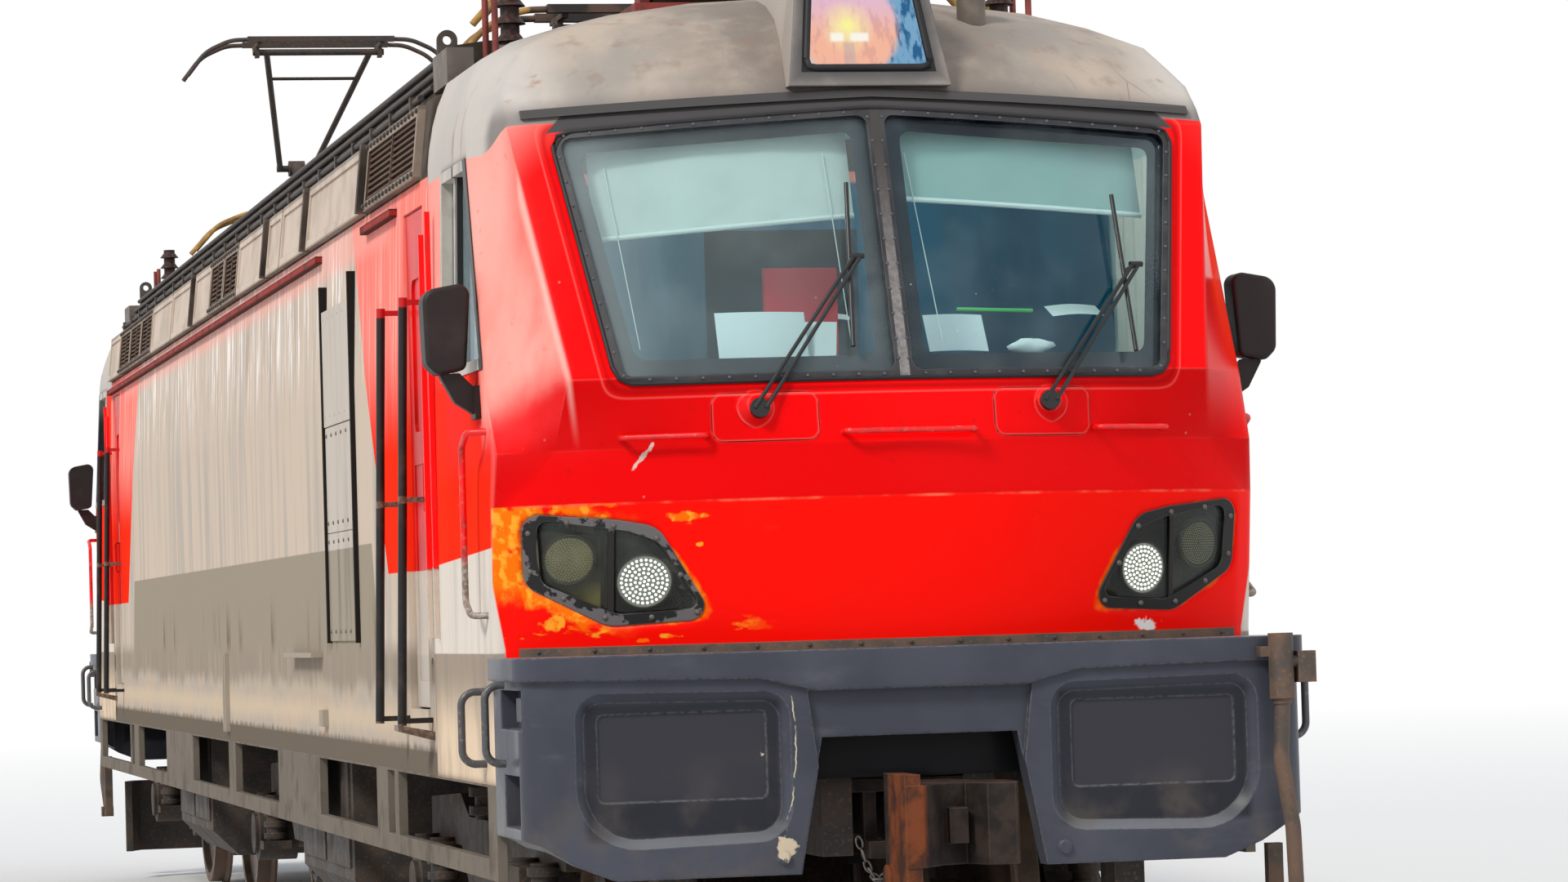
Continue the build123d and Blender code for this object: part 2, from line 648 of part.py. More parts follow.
def bogie_frame(y):
    """Side beams, transom, axle boxes, springs and brake units of one bogie."""
    half_base = bogie_wheelbase / 2
    low_z, drop_z = 860, 640
    clear = journal_radius + 3
    pieces = []
    for side in (1, -1):
        # Side beam, as (distance from the pivot, z), lower between the axles
        outline = [(-beam_half_length, low_z), (-950, low_z), (-700, drop_z), (700, drop_z), (950, low_z),
                   (beam_half_length, low_z), (beam_half_length, beam_high_z + 60), (950, beam_high_z + 100),
                   (700, beam_high_z), (-700, beam_high_z), (-950, beam_high_z + 100),
                   (-beam_half_length, beam_high_z + 60)]
        face = Plane.YZ * make_face(Polyline([(y + p, z) for p, z in outline], close=True))
        pieces.append(Pos(side * beam_x - beam_width / 2, 0, 0) * extrude(face, beam_width, dir=(1, 0, 0)))
        for end in (-1, 1):
            wheel_y = y + end * half_base
            inner, outer = side * (journal_end - 190), side * (journal_end + 40)
            housing = x_rod(inner, outer, wheel_y, axle_z, 165)
            cover = x_rod(outer - side * 5, outer + side * 25, wheel_y, axle_z, 120)
            hole = x_rod(side * 900, side * (journal_end + 5), wheel_y, axle_z, clear)
            link = box(inner, outer, wheel_y - 120, wheel_y + 120, axle_z + 100, low_z + 10)
            wings = box(inner + side * 60, outer, wheel_y - 330, wheel_y + 330, axle_z - 90, axle_z - 40)
            pieces.append(join([housing, cover, link, wings]) - hole)
            for spring in (-1, 1):
                pieces.append(coil_spring(side * (journal_end - 45), wheel_y + spring * 250, axle_z - 45, low_z + 30, 72, 4))
            shoe_y = wheel_y - end * (wheel_radius + 45)
            pieces.append(box(side * 775, side * 865, shoe_y - 30, shoe_y + 30, 560, 790))
            pieces.append(box(side * 860, side * 960, shoe_y - 30, shoe_y + 30, 730, 800))
        for spring_y in (y - 420, y + 420):
            pieces.append(coil_spring(side * beam_x, spring_y, beam_high_z - 5, floor_under_z - pivot_clear, 120, 4))
    transom = box(-beam_x, beam_x, y - 190, y + 190, 760, 980)
    pieces.append(transom)
    bore = rod((0, y, 700), (0, y, 1100), pivot_radius + pivot_clear)
    return solid_of(join(pieces) - bore)


def traction_motors(y):
    """Two motors, each between the transom and its axle, with a flange and a terminal box."""
    motors = []
    for end in (-1, 1):
        centre_y = y + end * (bogie_wheelbase / 2 - 810)
        case = x_rod(-motor_radius, motor_radius - 30, centre_y, axle_z + 60, motor_radius)
        collar = x_rod(-motor_radius - 25, -motor_radius, centre_y, axle_z + 60, motor_radius - 60)
        terminal = box(-200, 0, centre_y - 120, centre_y + 120, axle_z + 60, axle_z + motor_radius + 110)
        motors.append(join([case, collar, terminal]) - box(-400, 400, y - 195, y + 195, 700, 1100))
    return [solid_of(motor) for motor in motors]


def underfloor_boxes():
    """Equipment cases between the bogies."""
    clear = bogie_wheelbase / 2 + wheel_radius + 375
    half, foot = body_half - 120, 480
    boxes = []
    for sign in (-1, 1):
        y0, y1 = sorted((sign * clear, sign * (bogie_spacing - clear)))
        case = box(-half, half, y0, y1, foot, floor_under_z)
        case = chamfer(case.edges().filter_by(Axis.Y).group_by(Axis.Z)[0], 160)
        ribs = [box(-half + 170, half - 170, y - 15, y + 15, foot - 20, foot + 5) for y in (y0 + 500, y1 - 500)]
        lids = [box(s * (half - 5), s * (half + 14), y0 + a, y0 + b, foot + 220, floor_under_z - 60)
                for s in (1, -1) for a, b in ((80, 980), (1060, 2000))]
        boxes.append(solid_of(join([case, *ribs, *lids])))
    return boxes


def transformer():
    """The closed inner heavy mass, as one plain block on the machine room's floor."""
    return box(-900, 900, -1300, 1300, floor_z, floor_z + 1500)


# Roof-edge panels of the -X side. Columns: start setback, end setback, 1 for a grille
roof_panels = [
    (2500, 4130, 1), (4300, 6380, 0), (6460, 7540, 0), (7600, 8200, 0), (8300, 9720, 0), (9770, 10510, 1),
    (10550, 11290, 1), (11330, 12290, 0), (12350, 13790, 0), (13850, 15260, 0), (15310, 16150, 1),
    (16190, 17030, 1), (17070, 17910, 1), (17960, 18860, 0),
]
roof_posts = [4215.0, 6420.0, 8250.0, 12320.0]
panel_low_z = 3755.0
panel_high_z = 4068.0
panel_thick = 34.0
panel_rim = 45.0


def leaning(low, high, out0, out1):
    """A section on the leaning roof edge between two heights and two distances out from it."""
    slope = (ledge_in - eave_in) / (ledge_z - eave_z)
    x_low = body_half - eave_in - slope * (low - eave_z)
    x_high = body_half - eave_in - slope * (high - eave_z)
    return [(x_low + out0, low), (x_low + out1, low), (x_high + out1, high), (x_high + out0, high)]


def roof_panel(start, end, grille):
    """One plain or louvred panel of the +X side."""
    rim = panel_rim
    panel = prism_y(leaning(panel_low_z, panel_high_z, 0, panel_thick), start, end)
    hole = leaning(panel_low_z + rim, panel_high_z - rim, 6 if grille else panel_thick - 9, panel_thick + 10)
    panel = panel - prism_y(hole, start + rim, end - rim)
    if grille:
        slats = 8
        pitch = (panel_high_z - panel_low_z - 2 * rim) / slats
        for slat in range(slats):
            z = panel_low_z + rim + pitch * (slat + 0.3)
            panel = panel.fuse(prism_y(leaning(z, z + 10, 3, panel_thick - 8), start + rim - 5, end - rim + 5))
        middle = (start + end) / 2
        panel = panel.fuse(prism_y(leaning(panel_low_z + rim - 3, panel_high_z - rim + 3, 3, panel_thick - 4),
                                   middle - 12, middle + 12))
    return solid_of(panel)


def roof_hatches():
    """Sloping row of panels and grilles along both roof edges."""
    pieces = []
    for start, end, grille in roof_panels:
        panel = roof_panel(start, end, grille)
        pieces += both_ends(panel.mirror(Plane.YZ))
    for place in roof_posts:
        post = prism_y(leaning(panel_low_z, panel_high_z, 0, 60), place - 26, place + 26)
        pieces += both_ends(solid_of(post.mirror(Plane.YZ)))
    return pieces


lug_setback = 3000.0
lug_in = 232.0
lug_bore = 20.0
lug_z = 4400.0


def roof_rails():
    """Pipes with clamps along the roof edges, rope-like conduits on the slope, and lifting lugs."""
    body = body_block()
    length_end = 2 * nose_plane - parapet_start
    y0, y1 = at_front(parapet_start + 50), at_front(length_end - 50)
    pieces = []
    pipe_x, pipe_z = body_half - 84, ledge_z + 48
    pipe = [rod((pipe_x, y0, pipe_z), (pipe_x, y1, pipe_z), 15)]
    count = 24
    for index in range(count):
        y = y0 + 200 + index * (y1 - y0 - 400) / (count - 1)
        pipe.append(box(pipe_x - 22, pipe_x + 22, y - 20, y + 20, ledge_z, pipe_z + 24))
    pieces += both_sides(solid_of(join(pipe) - body))
    # Columns: in from the side, z, radius
    for reach, z, radius in ((140, 4175, 14), (170, 4245, 14), (200, 4315, 14)):
        pieces += both_sides(solid_of(rod((body_half - reach, y0, z), (body_half - reach, y1, z), radius) - body))
    lug_x = body_half - lug_in
    y = at_front(lug_setback)
    ring = rod((lug_x, y - 15, lug_z), (lug_x, y + 15, lug_z), 44)
    stem = box(lug_x - 44, lug_x + 44, y - 15, y + 15, lug_z - 120, lug_z)
    lug = join([ring, stem]) - rod((lug_x, y - 20, lug_z), (lug_x, y + 20, lug_z), lug_bore)
    lug = solid_of(lug - body)
    pieces += all_corners(lug)
    return pieces


def mirror_unit():
    """One mirror beside the side window at the +X side."""
    side = body_half
    outline = [(side + 22, 3205), (side + 212, 3172), (side + 204, 2885), (side + 160, 2842), (side + 45, 2862)]
    case = prism_y(outline, 845, 965, [45, 60, 50, 30, 30])
    case = fillet(case.faces().sort_by(Axis.Y)[0].edges(), 18)
    neck = prism_y([(side + 70, 2850), (side + 150, 2846), (side + 90, 2735), (side + 20, 2690), (side - 60, 2690),
                    (side - 60, 2790), (side + 20, 2800)], 878, 930, 8)
    plate = box(side - 60, side + 16, at_front(850), at_front(960), 2670, 2800)
    return solid_of(join([case, neck, plate]) - cab_loft(cab_sections, 0))


# Tall rails beside the doors. Columns: setback from the door's near edge, step bracket or not
rail_top_z = 3245.0
rail_low_z = 1460.0


def door_rail(setback, step):
    """A tall grab rail beside a door at the +X side, with its feet."""
    y = at_front(setback)
    low_x, high_x = body_half + 130, body_half + 80
    pieces = [rod((low_x, y, rail_low_z), (high_x, y, rail_top_z), 19)]
    for z in (rail_low_z + 20, 2400, rail_top_z - 20):
        x = low_x + (high_x - low_x) * (z - rail_low_z) / (rail_top_z - rail_low_z)
        pieces.append(box(body_half - 40, x + 12, y - 13, y + 13, z - 11, z + 11))
    if step:
        tread = prism_y([(body_half - 40, 1385), (body_half - 40, 1425), (low_x + 25, 1465), (low_x + 25, 1440)],
                        setback - 60, setback + 60)
        pieces.append(tread)
    return solid_of(join(pieces) - cab_loft(cab_sections, 0) - body_block())


def nose_rails():
    """Short level handrails under the windshield, and the upright ones on the cab's side."""
    pieces = []
    z, proud, bar = 2560, 62, 11
    nose = cab_loft(cab_sections, 0)
    for x0, x1 in ((-253, 253), (765, 1070), (-1070, -765)):
        points = []
        for x, out in ((x0, -60), (x0, proud), (x1, proud), (x1, -60)):
            points.append((x, at_front(nose_setback(x, z) - out), z))
        pieces.append(solid_of(bent_bar(points, bar, 28) - nose))
    side_x, s0 = body_half + 62, 930
    upright = bent_bar([(body_half - 40, at_front(s0 - 175), 2615), (side_x, at_front(s0 - 130), 2615),
                        (side_x, at_front(s0), 2560), (side_x, at_front(s0), 1960), (side_x, at_front(s0 - 130), 1905),
                        (body_half - 40, at_front(s0 - 175), 1905)], 13, 40)
    pieces += both_sides(solid_of(upright - nose))
    return pieces


def corner_handles():
    """Bent handles on the side of the bumper and on the body behind it."""
    pieces = []
    blocks = join([cab_loft(cab_sections[:3], 0), bumper_plan(0, bumper_bottom_z, bumper_top_z)])
    out = body_half + 95
    for s0, low, high in ((300, 1345, 1640), (905, 1330, 1610)):
        y = at_front(s0)
        points = [(body_half - 60, y, high), (out, y, high), (out, y, low), (body_half - 60, y, low)]
        pieces += both_sides(solid_of(bent_bar(points, 15, 55) - blocks))
    return pieces


# Wipers of both panes. Columns: pivot x, z, arm end x, z, blade top x, z, blade foot x, z
wiper_table = [
    (-569, 2656, -147, 3235, -152, 3527, -197, 2884),
    (565, 2664, 990, 3197, 932, 3477, 948, 2854),
]


def wipers():
    """Two-armed wipers on the nose."""
    result = []
    for px, pz, ax, az, tx, tz, fx, fz in wiper_table:
        def spot(x, z, out):
            return (x, at_front(nose_setback(x, z) - out), z)
        base = spot(px, pz, 52)
        arms = []
        for shift in (-22, 22):
            arms.append(rod((base[0] + shift, base[1], base[2]), spot(ax + shift * 0.6, az, 62), 8))
        hub = Plane(origin=spot(px, pz, 40), z_dir=(0, -1, 0.25)) * Cylinder(38, 26)
        clip = rod(spot(ax - 26, az, 62), spot(ax + 26, az, 62), 11)
        blade = rod(spot(fx, fz, 36), spot(tx, tz, 36), 9)
        middle = ((fx + tx) / 2, (fz + tz) / 2)
        yoke = rod(spot(ax, az, 62), spot(middle[0], middle[1], 36), 9)
        piece = join([hub, *arms, clip, blade, yoke])
        result.append(solid_of(piece - cab_loft(cab_sections[3:7], -7) - join(wiper_hatches())))
    return result


def roof_lamp():
    """Spotlight housing on the cab roof's front, with its lamp."""
    side_view = prism_x([(515, 3922), (560, 4060), (660, 4400), (780, 4460), (1400, 4380), (1500, 3922)], -400, 400)
    front_view = prism_y([(-325, 3922), (-255, 4390), (-200, 4460), (200, 4460), (255, 4390), (325, 3922)], 300, 1600)
    pocket = lamp_pane(0) & prism_x([(300, 3900), (300, 4500), (800, 4500), (720, 3900)], -400, 400)
    barrel = rod((0, at_front(700), 4185), (0, at_front(860), 4185), 150)
    bowl = rod((0, at_front(690), 4185), (0, at_front(790), 4185), 128)
    housing = ((side_view & front_view) - pocket).fuse(barrel & side_view & front_view) - bowl
    return solid_of(housing - cab_loft(cab_sections, 0))


def lamp_pane(margin):
    """Prism of the spotlight's pane, made smaller by a margin."""
    return prism_y([(-250 + margin, 3995 + margin), (250 - margin, 3995 + margin), (205 - margin, 4360 - margin),
                    (-205 + margin, 4360 - margin)], 300, 1600, 20)


def lamp_pane_glass():
    """The spotlight's pane, leaning back with the housing's face."""
    return lamp_pane(0) & prism_x([(552, 3960), (564, 3960), (684, 4400), (672, 4400)], -400, 400)


def insulator(x, y, z0, height, radius, ribs=4):
    """A ribbed insulator."""
    core = radius * 0.6
    pitch = height / ribs
    points = [(0, 0), (core, 0)]
    for rib in range(ribs):
        low = pitch * (rib + 0.25)
        points += [(core, low), (radius, low), (core, low + pitch * 0.45)]
    points += [(core, height), (0, height)]
    face = Plane.XZ * make_face(Polyline(points, close=True))
    return Pos(x, y, z0) * revolve(face, Axis.Z)


def arm_point(pivot_y, knee_sign, length, angle, z):
    """End of an arm that starts at a pivot and rises at an angle."""
    return pivot_y + knee_sign * length * math.cos(math.radians(angle)), z + length * math.sin(math.radians(angle))


base_half = 520.0
base_before = 650.0
base_after = 600.0


def pantograph_base(pivot_y, knee_sign):
    """Insulators, frame, pivot brackets and pivot shaft."""
    frame_z = well_z + insulator_height
    ends = sorted((pivot_y - knee_sign * base_before, pivot_y + knee_sign * base_after))
    half = base_beam / 2
    pieces = [box(s * base_half - half, s * base_half + half, ends[0], ends[1], frame_z, frame_z + base_beam)
              for s in (1, -1)]
    for y in (ends[0] + half, ends[1] - half, pivot_y):
        pieces.append(box(-base_half, base_half, y - half, y + half, frame_z, frame_z + base_beam))
    for side in (1, -1):
        pieces.append(box(side * 385, side * 425, pivot_y - 70, pivot_y + 70, frame_z, pivot_z + 50))
        for y in (ends[0] + 60, ends[1] - 60):
            pieces.append(insulator(side * base_half, y, well_z, insulator_height, 95))
    pieces.append(x_rod(-400, 400, pivot_y, pivot_z, 28))
    return solid_of(join(pieces))


def pantograph_arms(pivot_y, knee_sign, raised, half_width):
    """Lower arm, upper arm and head, with the knee on the given side of the pivot."""
    knee_y, knee_z = arm_point(pivot_y, knee_sign, lower_arm, lower_rest + raised, pivot_z)
    head_y, head_z = arm_point(knee_y, -knee_sign, upper_arm, upper_rest + raised, knee_z)
    hub = x_rod(-365, 365, pivot_y, pivot_z, 55) - x_rod(-375, 375, pivot_y, pivot_z, 30)
    tube = rod((0, pivot_y + knee_sign * 40, pivot_z), (0, knee_y - knee_sign * 40, knee_z), 42)
    braces = [rod((s * 300, pivot_y + knee_sign * 20, pivot_z), (s * 20, pivot_y + knee_sign * 520,
              pivot_z + 520 * (knee_z - pivot_z) / abs(knee_y - pivot_y)), 20) for s in (1, -1)]
    lower = join([hub, tube - x_rod(-60, 60, pivot_y, pivot_z, 30), *braces])
    lower = lower - x_rod(-375, 375, pivot_y, pivot_z, 30)
    eye = x_rod(-60, 60, knee_y, knee_z, 60)
    lower = lower.fuse(eye) - x_rod(-70, 70, knee_y, knee_z, 27)
    shaft = x_rod(-150, 150, knee_y, knee_z, 25)
    spread = [rod((s * 125, knee_y, knee_z), (s * 380, head_y, head_z), 22) for s in (1, -1)]
    tie_share = 0.78
    tie_y, tie_z = knee_y + (head_y - knee_y) * tie_share, knee_z + (head_z - knee_z) * tie_share
    tie = x_rod(-125 - 255 * tie_share, 125 + 255 * tie_share, tie_y, tie_z, 12)
    top = x_rod(-480, 480, head_y, head_z, 24)
    upper = join([shaft, *spread, tie, top])
    strip_half = 0.55 * half_width
    strip_z = head_z + head_rise
    bows = []
    for offset in (-180, 180):
        y = head_y + offset
        bows.append(box(-strip_half, strip_half, y - 25, y + 25, strip_z - 40, strip_z))
        for s in (1, -1):
            run = half_width - strip_half
            bend = [(-20, -22), (0.28 * run, -26), (0.7 * run, -110), (run, -280)]
            bows.append(bent_bar([(s * (strip_half + out), y, strip_z + up) for out, up in bend], 16, 300))
    for x in (-450, 450):
        bows.append(box(x - 15, x + 15, head_y - 180, head_y + 180, strip_z - 60, strip_z - 35))
        bows.append(box(x - 15, x + 15, head_y - 35, head_y + 35, head_z - 40, strip_z - 35))
    head = join(bows) - x_rod(-500, 500, head_y, head_z, 26.5)
    return solid_of(lower), solid_of(upper), solid_of(head)


def roof_gear(body):
    """Equipment cases, bus bars, arresters and an aerial on the roof."""
    cases = []
    # Columns: half width, start y, end y, height
    for half, y0, y1, height in ((760, -800, 800, 380), (560, -2000, -1100, 260), (560, 1100, 2000, 260)):
        case = box(-half, half, y0, y1, well_z, well_z + height)
        case = fillet(case.edges().filter_by(Axis.Z), 40)
        lid = box(-half - 15, half + 15, y0 - 15, y1 + 15, well_z + height - 30, well_z + height)
        cases.append(solid_of(join([case, lid])))
    bars = []
    for x in (-880, 880):
        posts = [insulator(x, y, well_z, 280, 70) for y in (-3600, -1500, 1500, 3600)]
        bar = box(x - 25, x + 25, -3700, 3700, well_z + 275, well_z + 300)
        bars.append(solid_of(join([*posts, bar])))
    pieces = cases + bars
    # Arresters on the shoulder behind the cab, each with two posts beside it
    ends = cab_loft(cab_sections, 0)
    arrester_x, post_x = body_half - 445, body_half - 355
    foot = box(arrester_x - 60, arrester_x + 60, at_front(2540), at_front(2660), 4240, 4330)
    arrester = insulator(arrester_x, at_front(2600), 4325, 380, 68, 5)
    posts = [rod((post_x, at_front(s), 4240), (post_x, at_front(s), 4560), 14) for s in (2440, 2700)]
    latch = box(body_half - 245, body_half - 130, at_front(2330), at_front(parapet_start - 15), 4140, 4292)
    for piece in (foot.fuse(arrester), *posts, latch):
        pieces += all_corners(solid_of(piece - ends - body))
    aerial = rod((550, at_front(1050), 4200), (550, at_front(1050), 4420), 58)
    pieces += both_ends(solid_of(aerial - ends))
    return pieces


def cab_desk():
    """Driver's desk under the windshield."""
    outline = [(200, 2300), (500, 2700), (1000, 2640), (1250, 2450), (1250, 2380), (900, 2300), (900, floor_z),
               (200, floor_z)]
    room = cab_loft(room_sections(), lamp_depth + 10)
    half = body_half - 370
    block = prism_x(outline, -half, half) & room
    return solid_of(block.fuse(box(-half + 50, half - 50, at_front(700), at_front(860), floor_z, 1800)))


def seats():
    """Two seats behind the desk."""
    result = []
    for x in (-650, 650):
        base = box(x - 60, x + 60, at_front(1500), at_front(1620), floor_z, 1900)
        foot = box(x - 180, x + 180, at_front(1400), at_front(1720), floor_z, floor_z + 30)
        cushion = box(x - 240, x + 240, at_front(1330), at_front(1800), 1900, 2020)
        back = prism_x([(1740, 2000), (1850, 2000), (1910, 2720), (1830, 2720)], x - 230, x + 230)
        result.append(solid_of(join([base, foot, cushion, back])))
    return result


def jumper():
    """Brake and electric connector on the +X corner of the bumper, with its sleeved line and lower clamp."""
    x, s = body_half - 118, -75
    y = at_front(s)
    head = [rod((x, y, 1500), (x, y, 1750), 48), rod((x, y, 1480), (x, y, 1560), 36)]
    head.append(box(x - 80, x + 40, y, at_front(-10), 1660, 1700))
    head.append(rod((x, y, 1640), (x + 120, y, 1640), 22))
    head.append(box(x + 60, x + 130, y - 30, y + 30, 1560, 1680))
    low_y = at_front(60)
    line = bent_bar([(x, y, 1485), (x - 12, y, 1270), (x + 30, y + 10, 1010), (x + 46, y + 40, 760),
                     (x + 30, low_y, 540)], 30, 260)
    clamp = box(x - 15, x + 75, low_y - 40, low_y + 40, 470, 545)
    arm = box(x - 5, x + 55, low_y + 35, at_front(200), 480, 520)
    strut = box(x - 5, x + 55, at_front(150), at_front(200), 480, 1110)
    pieces = join([*head, line, clamp, arm, strut])
    return solid_of(pieces - bumper_plan(0, bumper_bottom_z + 40, bumper_top_z) - plough())


def save(name, shapes):
    """Write one node."""
    shapes = shapes if isinstance(shapes, list) else [shapes]
    export_step(shapes[0] if len(shapes) == 1 else Compound(shapes), f"parts/{name}.step")


def at_both_ends(pieces):
    """Each piece of a list at both ends."""
    return [turned for piece in pieces for turned in both_ends(piece)]


def main():
    os.makedirs("parts", exist_ok=True)
    for name, piece in zip(("cab_shell_front", "cab_shell_rear"), both_ends(cab_shell())):
        save(name, piece)
    save("window_frames", at_both_ends(window_frames()))
    save("cab_glass", at_both_ends(cab_glass()))
    save("headlamps", at_both_ends(both_sides(headlamp())))
    lenses = [lens for part in lamp_lens() for lens in both_sides(part)]
    save("lamp_glass", at_both_ends(lenses + [solid_of(lamp_pane_glass())]))
    body = machine_body()
    save("machine_body", body)
    save("side_covers", side_cover_pieces())
    save("side_skirts", side_skirts())
    for name, piece in zip(("bumper_front", "bumper_rear"), both_ends(bumper())):
        save(name, piece)
    save("couplers", both_ends(coupler()))
    save("draft_boxes", both_ends(coupler_pocket()))
    save("ploughs", both_ends(plough()))
    save("jumpers", both_ends(jumper()))
    save("roof_hatches", roof_hatches())
    save("roof_rails", roof_rails())
    save("roof_lamps", both_ends(roof_lamp()))
    save("mirrors", all_corners(mirror_unit()))
    rails = all_corners(door_rail(door_front - 70, True)) + all_corners(door_rail(door_rear + 50, False))
    save("door_rails", rails)
    save("handrails", at_both_ends(nose_rails() + corner_handles()))
    save("wipers", at_both_ends(wipers()))
    save("underfloor_boxes", underfloor_boxes())
    save("transformer", transformer())
    save("roof_gear", roof_gear(body))
    save("cab_desks", both_ends(cab_desk()))
    save("seats", at_both_ends(seats()))
    door = door_leaf()
    save("door_front_right", door)
    save("door_front_left", door.mirror(Plane.YZ))
    save("door_rear_left", door.rotate(Axis.Z, 180))
    save("door_rear_right", door.mirror(Plane.YZ).rotate(Axis.Z, 180))
    for index, pivot in enumerate((-bogie_spacing, 0.0, bogie_spacing)):
        save(f"bogie_frame_{index + 1}", bogie_frame(pivot))
        save(f"traction_motors_{index + 1}", traction_motors(pivot))
        for end in (0, 1):
            save(f"wheelset_{2 * index + end + 1}", wheelset(pivot + (end - 0.5) * bogie_wheelbase))
    # Columns: pivot, knee side, raised angle, half width of the head
    pantographs = [(-outer_pivot_y, -1, 0.0, 1130), (-inner_pivot_y, 1, 0.0, 975), (inner_pivot_y, -1, 0.0, 1130),
                   (outer_pivot_y, 1, raised_angle, 975)]
    bases = []
    for index, (pivot_y, knee_sign, raised, half_width) in enumerate(pantographs):
        bases.append(pantograph_base(pivot_y, knee_sign))
        names = ("lower_arm", "upper_arm", "head")
        for name, piece in zip(names, pantograph_arms(pivot_y, knee_sign, raised, half_width)):
            save(f"panto_{index + 1}_{name}", piece)
    save("pantograph_bases", bases)


main()
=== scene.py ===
"""Looks of an electric locomotive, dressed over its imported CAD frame. Metres throughout."""
import math

import bpy
from mathutils import Euler, Matrix, Vector


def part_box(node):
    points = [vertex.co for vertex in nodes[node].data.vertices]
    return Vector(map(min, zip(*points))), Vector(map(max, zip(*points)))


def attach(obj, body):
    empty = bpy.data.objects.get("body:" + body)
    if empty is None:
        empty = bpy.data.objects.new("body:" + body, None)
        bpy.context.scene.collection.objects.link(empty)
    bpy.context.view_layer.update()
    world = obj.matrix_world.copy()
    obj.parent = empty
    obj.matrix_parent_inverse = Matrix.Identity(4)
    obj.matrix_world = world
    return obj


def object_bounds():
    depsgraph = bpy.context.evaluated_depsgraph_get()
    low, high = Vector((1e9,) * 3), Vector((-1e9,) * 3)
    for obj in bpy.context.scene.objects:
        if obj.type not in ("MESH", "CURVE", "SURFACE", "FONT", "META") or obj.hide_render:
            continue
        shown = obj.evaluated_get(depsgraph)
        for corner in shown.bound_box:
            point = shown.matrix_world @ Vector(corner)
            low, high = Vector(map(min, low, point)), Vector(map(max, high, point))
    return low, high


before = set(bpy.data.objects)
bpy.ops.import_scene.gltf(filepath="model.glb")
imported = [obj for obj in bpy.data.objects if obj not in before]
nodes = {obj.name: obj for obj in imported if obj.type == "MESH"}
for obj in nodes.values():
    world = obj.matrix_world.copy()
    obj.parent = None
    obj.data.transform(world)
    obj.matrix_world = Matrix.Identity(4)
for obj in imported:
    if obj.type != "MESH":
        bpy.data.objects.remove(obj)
cad_low, cad_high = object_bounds()

# Setbacks run back from the plane of the nose, which the coupler overhangs
coupler_overhang = 0.681
nose_plane = -cad_low[1] - coupler_overhang
body_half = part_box("machine_body")[1][0]

# Camera of the photo: place in metres, angles in radians, focal length for a 36 mm sensor
camera_place = Vector((-4.474, -28.968, 1.861))
camera_yaw = 0.213022229
camera_pitch = 0.0353837488
camera_roll = -0.0293738645
camera_lens = 114.94

# Linear colours
signal_red = (0.98, 0.002, 0.003)
deep_red = (0.66, 0.0015, 0.002)
side_red = (1.0, 0.035, 0.012)
sheen_red = (0.98, 0.045, 0.05)
faded_red = (0.95, 0.4, 0.34)
lamp_red = (1.0, 0.004, 0.001)
lamp_orange = (1.0, 0.17, 0.002)
pale_grey = (0.61, 0.5, 0.405)
cab_grey = (0.72, 0.65, 0.57)
highlight_grey = (0.8, 0.73, 0.67)
mid_grey = (0.345, 0.295, 0.225)
sill_grey = (0.46, 0.4, 0.335)
cap_grey = (0.33, 0.295, 0.26)
room_blue = (0.02, 0.2, 0.3)
room_pale = (0.55, 0.66, 0.62)
beige = (0.6, 0.49, 0.4)
slate = (0.045, 0.048, 0.062)
near_black = (0.012, 0.012, 0.013)
steel_grey = (0.035, 0.03, 0.028)
steel_rust = (0.11, 0.07, 0.05)

# Borders of the paints
front_corner = 0.66
lamp_panel_top = 2.315
red_foot = 2.108
band_top = 2.255
insulator_top = 4.438
bus_bar_foot = 4.412
room_middle = (9.2, 2.7)

# Outlines on the nose are (x, z) to the right of its middle
lamp_outline = [(1.424, 2.287), (1.088, 2.252), (0.944, 2.222), (0.738, 1.869),
                (1.121, 1.850), (1.411, 2.012)]
lit_disc = (0.985, 2.016)
olive_disc = (1.25, 2.107)
pane_outline = [(0.034, 2.792), (1.055, 2.792), (1.215, 3.734), (0.034, 3.804)]
surround = [(-1.0, 2.742), (1.1, 2.742), (1.272, 3.775), (-1.0, 3.95)]
roof_pane = [(-0.25, 3.995), (0.25, 3.995), (0.205, 4.36), (-0.205, 4.36)]
# Orange smudges on the lamp panel: x, z, width, height
smudge_places = [(0.855, 2.257, 0.085, 0.022), (0.79, 2.15, 0.02, 0.01), (0.897, 1.806, 0.04, 0.012),
                 (0.985, 1.793, 0.035, 0.012), (1.3, 1.87, 0.07, 0.03)]
# Roof-edge row of the -X side from the front: setbacks of the louvres and of the dark posts
grilles = [(2.49, 4.14), (9.76, 10.52), (10.54, 11.3), (15.3, 16.16), (16.18, 17.04), (17.06, 17.92)]
grille_rim = 0.05
posts = [(4.18, 4.25), (6.385, 6.455), (8.21, 8.29), (12.285, 12.355)]
# Front of the cab: height, centre setback, ridge x, ridge setback
nose_rows = [
    (1.25, 0.125, 1.445, 0.625), (1.773, 0.125, 1.445, 0.625), (2.315, 0.030, 1.445, 0.530),
    (2.520, 0.040, 1.300, 0.440), (2.785, 0.092, 1.262, 0.310), (3.780, 0.462, 1.400, 0.727),
    (3.850, 0.500, 1.400, 0.790), (3.950, 0.590, 1.392, 0.900), (4.030, 0.680, 1.350, 1.000),
]
